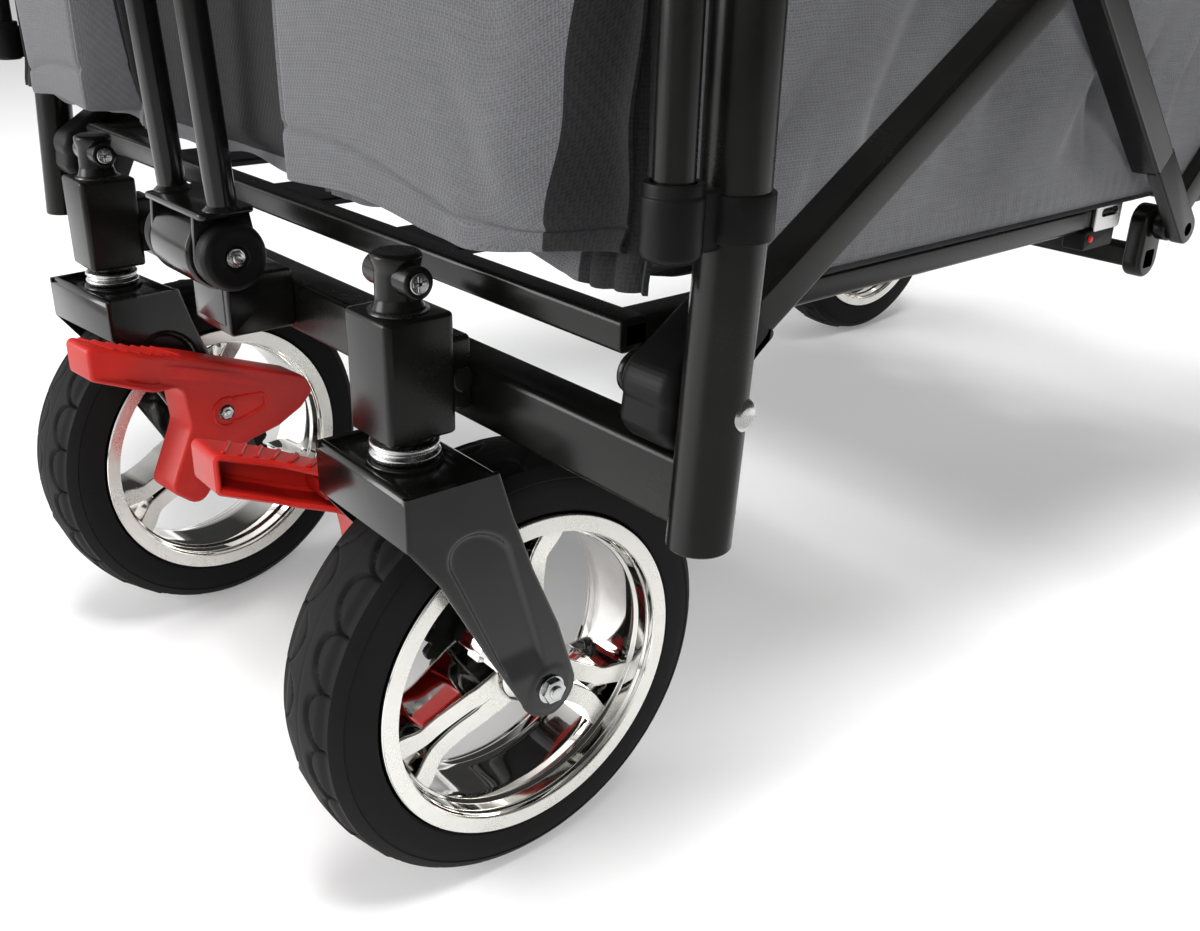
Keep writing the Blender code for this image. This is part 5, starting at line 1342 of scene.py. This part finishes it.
def knobBolts():
    # a nut and bolt end in each cap
    made = boltShells(0.0316, 1, 0.0028, 0.0038)
    return made + mirrored(made, -1)


def slideShells():
    # two inner tubes and the bridge between them
    h = handleSettings
    top = h["roof"] + h["length"] + h["reach"]
    made = []
    for side in (1, -1):
        path = [(side * h["tubeX"], 0, h["roof"] + 0.030), (side * h["tubeX"], 0, 0.3), (side * h["tubeX"], 0, top)]
        made.append(pipe(h["slide"], path, sideX, 0.0010, 0.02, 32))
    low = h["roof"] + h["length"] + 0.006
    made.append(roundedBox((-h["tubeX"], -0.004, low), (h["tubeX"], 0.004, low + 0.010), 0.0018, 0.0008, "x"))
    return made


def handGrip():
    # a round grip that swells a little in the middle, with ribs for the fingers and closed round ends
    h = handleSettings
    x = np.linspace(-1, 1, 150)
    ribs = 0.0005 * (0.5 + 0.5 * np.cos(x * 58)) * smooth01(-np.abs(x), -0.86, -0.78)
    swell = h["gripRadius"] - 0.0012 * np.abs(x) ** 3 - ribs
    end = np.sqrt(np.clip(1 - ((np.abs(x) - 0.93) / 0.07).clip(0) ** 2, 0, 1))
    profile = np.stack((swell * (0.55 + 0.45 * end) * np.where(np.abs(x) >= 1, 0, 1), x * h["gripHalf"]), -1)
    z = h["roof"] + h["length"] + h["reach"] + h["gripRadius"] / 3
    return [turned(profile, 48, "x", (0, 0, z))]


piece("handleHingeBlock", hingeBlock(), "glossBlack", "front_frame", ["handle_hinge_block"])
piece("handleYoke", moved(yokeShells(), handleFrame), "glossBlack", "pull_handle", ["handle_frame"])
piece("handleCollars", moved(collarShells(), handleFrame), "blackPlastic", "pull_handle")
piece("handleKnobs", moved(knobShells(), handleFrame), "blackPlastic", "pull_handle", ["handle_pivot_bolt"])
piece("handleKnobBolts", moved(knobBolts(), handleFrame), "zincPlate", "pull_handle")
piece("handleSlide", moved(slideShells(), handleFrame), "chromePlate", "handle_slide", ["handle_slide"])
piece("handleGrip", moved(handGrip(), handleFrame), "foamSleeve", "handle_slide", ["handle_grip"])
print("handle made")

# cloth: each sheet is a grid of points from two formulas, given a thickness

clothSettings = dict(half=0.276, y=0.0143, low=0.3000, top=0.640, thick=0.0016, gap=0.0024)


def stand(grid, thick):
    # the same grid moved back along its own normals
    du = np.gradient(grid, axis=1)
    dv = np.gradient(grid, axis=0)
    normal = np.cross(du, dv)
    normal /= np.linalg.norm(normal, axis=-1, keepdims=True) + 1e-12
    return grid - normal * thick


def flatOf(grid):
    # cloth coordinates in metres, from the lengths walked along the rows and columns
    across = np.linalg.norm(np.diff(grid, axis=1), axis=-1)
    along = np.linalg.norm(np.diff(grid, axis=0), axis=-1)
    u = np.concatenate((np.zeros((grid.shape[0], 1)), np.cumsum(across, 1)), 1)
    v = np.concatenate((np.zeros((1, grid.shape[1])), np.cumsum(along, 0)), 0)
    return np.stack((u, v), -1)


def areaOf(grid):
    # half the cross product of the diagonals of every quad
    a, b, c, d = grid[:-1, :-1], grid[:-1, 1:], grid[1:, 1:], grid[1:, :-1]
    return float(np.linalg.norm(np.cross(c - a, d - b), axis=-1).sum() / 2)


def clothPiece(name, grids, finish, body, stands=(), behind=1):
    # one sheet, or one in several parts, each part's cloth coordinates measured from its own corner
    grids = grids if isinstance(grids, list) else [grids]
    shells, area, wide, tall = [], 0.0, 0.0, 0.0
    for grid in grids:
        flat = flatOf(grid)
        shells.append(slab(grid, stand(grid, behind * clothSettings["thick"]), flat))
        area += areaOf(grid)
        wide, tall = max(wide, flat[..., 0].max()), tall + flat[..., 1].max()
    made = piece(name, shells, finish, body, stands, sharp=50)
    return made


def mesh2(low, high, count, start, end, rows):
    # a grid of two parameters; rows follow the second
    return np.meshgrid(np.linspace(low, high, count), np.linspace(start, end, rows))


def wallHem(x):
    # the lower edge of the front wall, in waves
    return clothSettings["low"] + 0.0018 * np.sin(x * 41.0 + 0.6) + 0.0012 * np.sin(x * 97.0)


def wallGrid(rear=False):
    # y is flat with pleats between the pockets and beside the posts, and a hem that kicks out a little
    x, v = mesh2(-clothSettings["half"], clothSettings["half"], 260, 0, 1, 90)
    low = wallHem(x * (-1 if rear else 1))
    z = low + (clothSettings["top"] - low) * v
    pleats = 0.0030 * np.sin(np.abs(x) * 620.0 - z * 4.0)
    pleats = pleats * smooth01(np.abs(x), 0.082, 0.090) * smooth01(-np.abs(x), -0.104, -0.098)
    corner = 0.0034 * np.sin((np.abs(x) - 0.24) * 260.0 + z * 14.0) * smooth01(np.abs(x), 0.228, 0.262)
    slack = 0.0024 * np.sin(x * 19.0 + z * 9.0) * np.sin(z * 24.0 + 0.4)
    hem = -0.0026 * smooth01(-v, -0.05, 0.0) + 0.0012 * smooth01(v, 0.945, 0.95) * smooth01(-v, -1.0, -0.995)
    out = clothSettings["y"] - np.abs(pleats) * 1.1 - np.abs(corner) - 0.4 * np.abs(slack) + hem
    if rear:
        out = 2 * midY - out
    return np.stack((x, out, z), -1)


pocketSettings = dict(inner=0.099, outer=0.266, low=0.3095, high=0.520, deep=0.0268, band=0.0185, seam=0.0012,
                      gusset=0.2440, leftGusset=0.2020)


def pocketGrid(side):
    # a full pocket: its inner side and its foot stand out square, its outer side falls away in soft folds
    p = pocketSettings
    x, v = mesh2(p["inner"], p["outer"], 170, 0, 1, 130)
    step = smooth01(x, p["inner"], p["inner"] + 0.0060)
    edge = p["gusset"] if side > 0 else p["leftGusset"]
    fall = 1 - 0.80 * smooth01(x, edge - 0.020, edge + 0.020) ** 1.4
    full = step * (fall - 0.20 * smooth01(x, edge + 0.020, edge + 0.045))
    # up each column: out along the foot, up the band to the seam, then up the face
    foot, band = 0.055, 0.12
    reach = smooth01(v, 0, foot)
    tall = p["band"] * (1 - 0.72 * smooth01(x, 0.110, 0.250))
    bandFoot, rest = p["low"] + 0.0015, p["high"] - p["low"] - 0.0015 - tall
    onBand = bandFoot + tall * np.clip((v - foot) / (band - foot), 0, 1)
    z = np.where(v < foot, p["low"] + 0.0015 * v / foot, onBand)
    z = np.where(v > band, bandFoot + tall + rest * (v - band) / (1 - band), z)
    if side > 0:
        shift = 0.016 * smooth01(x, 0.150, 0.244) - 0.009 * smooth01(x, 0.244, p["outer"])
        x = x + np.clip((v - 0.04) / 0.40, 0, 1) * shift
    z = z + (0.0022 * np.sin(x * 52.0) - 0.0022 * np.sin(math.pi * (x - 0.1) / 0.166)) * (1 - v) ** 2
    across = np.sin(np.pi * (x - p["inner"]) / (p["outer"] - p["inner"]))
    belly = 1.0 + 0.10 * np.sin(np.pi * np.clip((v - band) / (1 - band), 0, 1)) * across
    mouth = 1 - 0.42 * smooth01(v, 0.55, 1.0)
    edgeSeam = np.exp(-(((x - p["inner"] - 0.0075) / 0.0011) ** 2)) * smooth01(v, band - 0.01, band)
    seam = p["seam"] * (np.exp(-(((v - band) * 215 / 1.6) ** 2)) + edgeSeam)
    crease = 0.0016 * np.sin((x - 0.2) * 150.0 + (z - 0.32) * 110.0)
    crease = crease * smooth01(x, 0.190, 0.225) * smooth01(-v, -0.55, -0.10)
    crease = crease + 0.0012 * np.sin(x * 34.0 - z * 27.0 + 1.0) * full
    top = 0.0012 * smooth01(v, 0.925, 0.930) * smooth01(-v, -1.0, -0.992)
    out = p["deep"] * full * reach * belly * mouth - seam + crease * reach + top
    y = clothSettings["y"] - clothSettings["gap"] - out
    return np.stack((side * x, np.minimum(y, clothSettings["y"] - 0.0022), z), -1)


gussetSettings = dict(inner=0.0840, outer=0.1015, low=0.3060, high=0.520, deep=0.0100, pleats=2.5)


def gussetGrid(side):
    # pleated strip beside the full pocket: y waves across the strip
    g = gussetSettings
    x, z = mesh2(g["inner"], g["outer"], 90, g["low"], g["high"], 60)
    wave = 0.5 - 0.5 * np.cos((x - g["inner"]) / (g["outer"] - g["inner"]) * 2 * math.pi * g["pleats"])
    full = wave * (0.75 + 0.25 * np.sin(z * 38.0 + x * 60.0)) * smooth01(z, 0.300, 0.322)
    y = clothSettings["y"] - clothSettings["gap"] - g["deep"] * full
    return np.stack((side * x, y, z), -1)


middleSettings = dict(half=0.0835, low=0.3060, tall=0.214, deep=0.0072)


def middlePocketGrid():
    # the flat pocket between them, with a rounded foot and sides drawn in
    m = middleSettings
    x, v = mesh2(-m["half"], m["half"], 160, 0, 1, 80)
    z = m["low"] + m["tall"] * v
    rise = smooth01(v, 0, 0.045) * smooth01(m["half"] - np.abs(x), 0, 0.006)
    crease = 0.0012 * np.sin(x * 70.0 + z * 30.0) * np.sin(z * 46.0)
    y = clothSettings["y"] - clothSettings["gap"]
    y = y - m["deep"] * rise * (1 - 0.35 * smooth01(v, 0.6, 1.0)) - 0.5 * np.abs(crease) * rise
    return np.stack((x, y, z), -1)


wall = wallGrid()
pockets = [pocketGrid(1), pocketGrid(-1)[:, ::-1]]
inWall = [np.argmin(np.abs(wall[0, :, 0] - spot)) for spot in (-0.243, 0.243)]
inPocket = np.argmin(np.abs(pockets[0][0, :, 0] - pocketSettings["gusset"]))
inLeft = np.argmin(np.abs(pockets[1][0, :, 0] + pocketSettings["leftGusset"]))
faces = [pockets[0][:, :inPocket + 1], pockets[1][:, inLeft:]]
gussets = [gussetGrid(1), gussetGrid(-1)[:, ::-1], pockets[0][:, inPocket:], pockets[1][:, :inLeft + 1]]
clothPiece("frontWall", wall[:, inWall[0]:inWall[1] + 1], "greyOxford", "front_frame",
           ["front_panel"], behind=-1)
clothPiece("wallCorners", [wall[:, :inWall[0] + 1], wall[:, inWall[1]:]], "charcoalWeave", "front_frame",
           behind=-1)
clothPiece("frontPockets", faces, "greyOxford", "front_frame", behind=-1)
clothPiece("pocketGussets", gussets, "charcoalWeave", "front_frame", behind=-1)
seams, seamRow, thread = [], 16, circle(0.0005, 6)
for grid, columns, column in ((pockets[0], slice(8, inPocket), 8), (pockets[1], slice(inLeft, -8), -9)):
    seams.append(sweep(thread, grid[seamRow, columns] - (0, 0.0002, 0), (0, 0, 1)))
    seams.append(sweep(thread, grid[seamRow:, column] - (0, 0.0002, 0), sideX))
piece("pocketSeams", seams, "foamSleeve", "front_frame")
clothPiece("middlePocket", middlePocketGrid(), "charcoalWeave", "front_frame", behind=-1)


rearPocketSettings = dict(half=0.1485, low=0.3360, tall=0.184, deep=0.0105)


def rearPocketGrid():
    # one wide pocket: it rises from its rim within 8 mm, is fullest low down and waves a little
    r = rearPocketSettings
    x, v = mesh2(r["half"], -r["half"], 160, 0, 1, 80)
    z = r["low"] + r["tall"] * v
    rise = smooth01(v, 0, 0.05) * smooth01(r["half"] - np.abs(x), 0, 0.008)
    y = 2 * midY - clothSettings["y"] + 0.0022
    y = y + r["deep"] * rise * (1 - 0.4 * smooth01(v, 0.5, 1.0)) + 0.0008 * np.sin(x * 44.0 + z * 21.0) * rise
    return np.stack((x, y, z), -1)


clothPiece("rearWall", wallGrid(rear=True)[:, ::-1], "greyOxford", "rear_frame",
           ["rear_panel"], behind=-1)
clothPiece("rearPocket", rearPocketGrid(), "charcoalWeave", "rear_frame", behind=-1)

sideSettings = dict(x=0.2456, start=0.0185, end=2 * midY - 0.0185, low=0.2815, seam=0.2895, top=0.640,
                    creases=((0.075, 0.007, 0.312, 0.030, 0.0060), (0.098, 0.005, 0.305, 0.018, 0.0050),
                             (0.135, 0.011, 0.335, 0.050, 0.0070), (0.172, 0.008, 0.345, 0.045, -0.0060),
                             (0.215, 0.012, 0.330, 0.055, 0.0065), (0.262, 0.009, 0.350, 0.050, -0.0055),
                             (0.300, 0.007, 0.315, 0.030, 0.0060), (0.338, 0.006, 0.322, 0.030, 0.0070),
                             (0.362, 0.005, 0.330, 0.035, -0.0050), (0.420, 0.012, 0.340, 0.050, 0.0060),
                             (0.500, 0.010, 0.335, 0.050, 0.0065), (0.590, 0.012, 0.345, 0.055, 0.0060),
                             (0.660, 0.008, 0.320, 0.035, 0.0060), (0.150, 0.018, 0.480, 0.090, 0.0060),
                             (0.330, 0.022, 0.500, 0.080, -0.0050), (0.520, 0.020, 0.480, 0.090, 0.0060)))


def sideGrid(side):
    # a long wall whose folds run down and back from the crossing bars, flat along its foot and ends
    s = sideSettings
    y, v = mesh2(s["start"], s["end"], 300, 0, 1, 110)
    low = s["low"] + 0.0150 * (1 - smooth01(y, 0.055, 0.100))
    z = low + (s["top"] - low) * v
    ends = smooth01(y, s["start"], s["start"] + 0.045) * smooth01(-y, -s["end"], -s["end"] + 0.045)
    foot = smooth01(z, s["seam"] + 0.001, s["seam"] + 0.050)
    slope = y - 0.55 * (z - 0.28)
    folds = np.sin(slope * 74.0 + 1.3 * np.sin(slope * 17.0)) * np.exp(-(((z - 0.335) / 0.048) ** 2))
    drape = np.sin(slope * 40.0 + z * 9.0 - 0.9 + 0.8 * np.sin(z * 13.0))
    deep = 0.0080 + 0.0050 * drape + 0.0022 * folds + 0.0020 * np.sin(y * 61.0 - z * 43.0) * np.sin(z * 19.0)
    for at, wide, up, tall, amount in s["creases"]:
        deep = deep + amount * np.exp(-(((slope - at) / wide) ** 2) - ((z - up) / tall) ** 2)
    puckers = 0.0007 * np.sin(y * 430.0 + 1.5 * np.sin(y * 61.0)) * np.exp(-(((z - s["seam"]) / 0.007) ** 2))
    x = s["x"] - np.clip(deep, 0.0002, 0.0190) * ends * foot - np.abs(puckers)
    x = x + 0.0010 * np.exp(-(((z - s["seam"]) / 0.0014) ** 2))
    x = x - 0.0008 * smooth01(-z, -s["seam"] + 0.0016, -s["low"])
    return np.stack((side * x, y, z), -1)


def squashed(made):
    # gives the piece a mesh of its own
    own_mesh(made)


for side in (1, -1):
    grid = sideGrid(side)
    panel = clothPiece(named("sidePanel", side), grid, "greyOxford", "front_frame",
                       [nodeNamed("side_panel", side)], behind=side)
    row = np.argmin(np.abs(grid[:, 0, 2] - sideSettings["seam"]))
    line = grid[row, 2:-2:2] + (side * 0.0004, 0, 0)
    cord = piece(named("sidePiping", side), sweep(circle(0.0011, 8), line, (0, 0, 1)), "foamSleeve", "front_frame")
    squashed(panel)
    squashed(cord)
print("tub made")

# floor mats: swollen by the cloth solver from a slightly smaller slab, then sewn into channels

matSettings = dict(half=0.224, start=0.0645, end=midY - 0.0410, low=0.2810, high=0.2878, voxel=0.0060,
                   pressure=4.0, cap=0.0036, frames=20, channels=(-0.112, 0.0, 0.112))


def swollen(shell, settings):
    # an even net over the shell, blown up by cloth pressure, no point further than cap
    made = bpy.data.objects.new("swelling", bpy.data.meshes.new("swelling"))
    outward = volumeOf(shell[0] - shell[0].mean(0), shell[1]) > 0
    made.data.from_pydata(shell[0].tolist(), [], shell[1] if outward else [f[::-1] for f in shell[1]])
    scene = bpy.context.scene
    scene.collection.objects.link(made)
    rough = made.modifiers.new("remesh", "REMESH")
    rough.mode = "VOXEL"
    rough.voxel_size = settings["voxel"]
    graph = bpy.context.evaluated_depsgraph_get()
    even = bpy.data.meshes.new_from_object(made.evaluated_get(graph))
    made.modifiers.clear()
    made.data = even
    start = np.zeros(len(even.vertices) * 3)
    even.vertices.foreach_get("co", start)
    start = start.reshape(-1, 3)
    end = start
    air = made.modifiers.new("air", "CLOTH")
    air.settings.quality = 6
    air.settings.use_pressure = True
    air.settings.uniform_pressure_force = settings["pressure"]
    air.settings.effector_weights.gravity = 0
    air.point_cache.frame_start, air.point_cache.frame_end = 1, settings["frames"]
    for moment in range(1, settings["frames"] + 1):
        scene.frame_set(moment)
    graph = bpy.context.evaluated_depsgraph_get()
    after = made.evaluated_get(graph).data
    end = np.zeros(len(after.vertices) * 3)
    after.vertices.foreach_get("co", end)
    end = end.reshape(-1, 3)
    scene.frame_set(1)
    faces = [list(polygon.vertices) for polygon in even.polygons]
    bpy.data.objects.remove(made)
    move = end - start
    far = np.linalg.norm(move, axis=1, keepdims=True)
    move *= np.minimum(1, settings["cap"] / np.maximum(far, 1e-9))
    return start + move, faces


def matShell():
    # a swollen slab; its top is crowned and pulled down along the channels and near its rim
    m = matSettings
    shell = roundedBox((-m["half"], m["start"], m["low"]), (m["half"], m["end"], m["high"]), 0.012, 0.0026, "z", 5)
    points, faces = swollen(shell, m)
    x, y = points[:, 0], points[:, 1]
    crown = (points[:, 2] > (m["low"] + m["high"]) / 2) * 1.0
    sewn = sum(np.exp(-(((x - spot) / 0.0042) ** 2)) for spot in m["channels"])
    edge = np.minimum(m["half"] - np.abs(x), np.minimum(y - m["start"], m["end"] - y))
    sewn = sewn + 0.7 * np.exp(-(((edge - 0.011) / 0.0036) ** 2))
    points[:, 2] += crown * (0.0018 * smooth01(edge, 0.004, 0.05) - 0.0030 * np.clip(sewn, 0, 1))
    points[:, 2] = np.maximum(points[:, 2], m["low"])
    return points, faces, points[:, :2].copy()


mat = matShell()
for name, body, stood, shell in (
        ("floorMatFront", "floor_front", "floor_board_front", mat),
        ("floorMatRear", "floor_rear", "floor_board_rear", backward([mat])[0])):
    pad = piece(name, shell, "charcoalWeave", body, [stood], sharp=180)
    fine = pad.modifiers.new("finer", "SUBSURF")
    fine.levels = fine.render_levels = 1
print("mats made")


# floor, light and camera

stageSettings = dict(floor=(0.80, 0.80, 0.80), farFloor=(0.16, 0.16, 0.16), lift=0.17, world=0.34,
                     slant=(-0.45, -0.90, -0.70), shine=(-0.15, 0.55, 0.04, 1.15))
lightSettings = dict(
    keyLight=dict(place=(-1.3, -2.5, 1.0), target=(0, 0, 0.35), size=(1.4, 1.4), power=42),
    sideLight=dict(place=(1.9, -1.7, 1.3), target=(0.2, 0.4, 0.4), size=(0.6, 0.9), power=30, glossy=False),
    topLight=dict(place=(0.70, -0.45, 3.0), target=(0, 0.2, 0.2), size=(1.3, 1.3), power=125, glossy=False))


def stageMaterial():
    # a pale floor that the camera, and metal, see as white where no shadow falls
    made = bpy.data.materials.new("paleFloor")
    made.use_nodes = True
    tree = made.node_tree
    tree.nodes.clear()
    out = tree.nodes.new("ShaderNodeOutputMaterial")
    plain = node(tree, "BsdfDiffuse", in_Color=(*stageSettings["floor"], 1.0))
    glow = node(tree, "Emission", in_Color=(1, 1, 1, 1), in_Strength=stageSettings["lift"])
    both = node(tree, "AddShader", [(0, plain.outputs[0]), (1, glow.outputs[0])])
    path = node(tree, "LightPath")
    # metal and paint see the floor on the right darker
    place = node(tree, "SeparateXYZ", [(0, node(tree, "NewGeometry").outputs["Position"])])
    left = node(tree, "MapRange", [(0, place.outputs[0])], in_1=0.1, in_2=0.5, in_3=1.0, in_4=0.20)
    beyond = node(tree, "MapRange", [(0, place.outputs[1])], in_1=0.15, in_2=0.45, in_3=0.0, in_4=0.9)
    bright = maths(tree, "MAXIMUM", left.outputs[0], beyond.outputs[0])
    shade = node(tree, "MixRGB", in_2=(*stageSettings["floor"], 1.0), in_1=(*stageSettings["farFloor"], 1.0))
    factor = maths(tree, "MAXIMUM", bright, maths(tree, "SUBTRACT", 1.0, path.outputs["Is Glossy Ray"]))
    tree.links.new(factor, shade.inputs[0])
    tree.links.new(shade.outputs[0], plain.inputs["Color"])
    seen = maths(tree, "MAXIMUM", path.outputs["Is Camera Ray"],
                 maths(tree, "MULTIPLY", path.outputs["Is Glossy Ray"], bright))
    seen = maths(tree, "MAXIMUM", seen, path.outputs["Is Transmission Ray"])
    mixed = node(tree, "MixShader", [(0, seen), (1, plain.outputs[0]), (2, both.outputs[0])])
    tree.links.new(mixed.outputs[0], out.inputs[0])
    return made


floorMesh = bpy.data.meshes.new("floorSheet")
floorMesh.from_pydata([(-30, -30, 0), (30, -30, 0), (30, 30, 0), (-30, 30, 0)], [], [(0, 1, 2, 3)])
floorSheet = bpy.data.objects.new("floorSheet", floorMesh)
floorMesh.materials.append(stageMaterial())
bpy.context.scene.collection.objects.link(floorSheet)

world = bpy.data.worlds.new("studio")
bpy.context.scene.world = world
world.use_nodes = True
tree = world.node_tree
tree.nodes.clear()
out = tree.nodes.new("ShaderNodeOutputWorld")
path = node(tree, "LightPath")
# what shines sees light towards the left and the front, and dark above, behind and on the right
way = node(tree, "SeparateXYZ", [(0, node(tree, "TexCoord").outputs["Generated"])])
leftward, forward, upward = [maths(tree, "MULTIPLY", way.outputs[k], share)
                             for k, share in enumerate(stageSettings["slant"])]
towards = maths(tree, "ADD", maths(tree, "ADD", leftward, forward), upward)
dark, bright, least, most = stageSettings["shine"]
shine = node(tree, "MapRange", [(0, towards)], in_1=dark, in_2=bright, in_3=least, in_4=most)
strength = maths(tree, "ADD", maths(tree, "MULTIPLY", shine.outputs[0], path.outputs["Is Glossy Ray"]),
                 maths(tree, "MULTIPLY", stageSettings["world"],
                       maths(tree, "SUBTRACT", 1.0, path.outputs["Is Glossy Ray"])))
studioLight = node(tree, "Background", in_Color=(1, 1, 1, 1))
tree.links.new(strength, studioLight.inputs["Strength"])
white = node(tree, "Background", in_Color=(1, 1, 1, 1), in_Strength=1.0)
seen = maths(tree, "MAXIMUM", path.outputs["Is Camera Ray"], path.outputs["Is Transmission Ray"])
mixed = node(tree, "MixShader", [(0, seen), (1, studioLight.outputs[0]), (2, white.outputs[0])])
tree.links.new(mixed.outputs[0], out.inputs[0])


def softbox(name, place, target, size, power, glossy=True):
    # a rectangle of light that faces its target
    lamp = bpy.data.lights.new(name, "AREA")
    lamp.shape = "RECTANGLE"
    lamp.size, lamp.size_y = size
    lamp.energy = power
    made = bpy.data.objects.new(name, lamp)
    bpy.context.scene.collection.objects.link(made)
    made.location = place
    direction = np.array(target) - np.array(place)
    made.rotation_mode = "QUATERNION"
    made.rotation_quaternion = Vector(direction.tolist()).to_track_quat("-Z", "Y")
    made.visible_glossy = glossy


for name, settings in lightSettings.items():
    softbox(name, **settings)

cameraSettings = dict(place=(0.5240, -0.2264, 0.3996), right=(0.65116, 0.75858, 0.02350),
                      up=(-0.32597, 0.25158, 0.91129), lens=36.33, sensor=36.0)
cameraData = bpy.data.cameras.new("photoCamera")
cameraData.lens = cameraSettings["lens"]
cameraData.sensor_width = cameraSettings["sensor"]
cameraData.clip_start = 0.01
photoCamera = bpy.data.objects.new("photoCamera", cameraData)
bpy.context.scene.collection.objects.link(photoCamera)
right, up = np.array(cameraSettings["right"]), np.array(cameraSettings["up"])
place = np.array(cameraSettings["place"]) + (0, stemY, 0)
cameraAxes = np.stack((right, up, np.cross(right, up)), -1)
photoCamera.matrix_world = Matrix([[*row, place[k]] for k, row in enumerate(cameraAxes)] + [[0, 0, 0, 1]])
bpy.context.scene.camera = photoCamera
bpy.context.scene.view_settings.view_transform = "Standard"
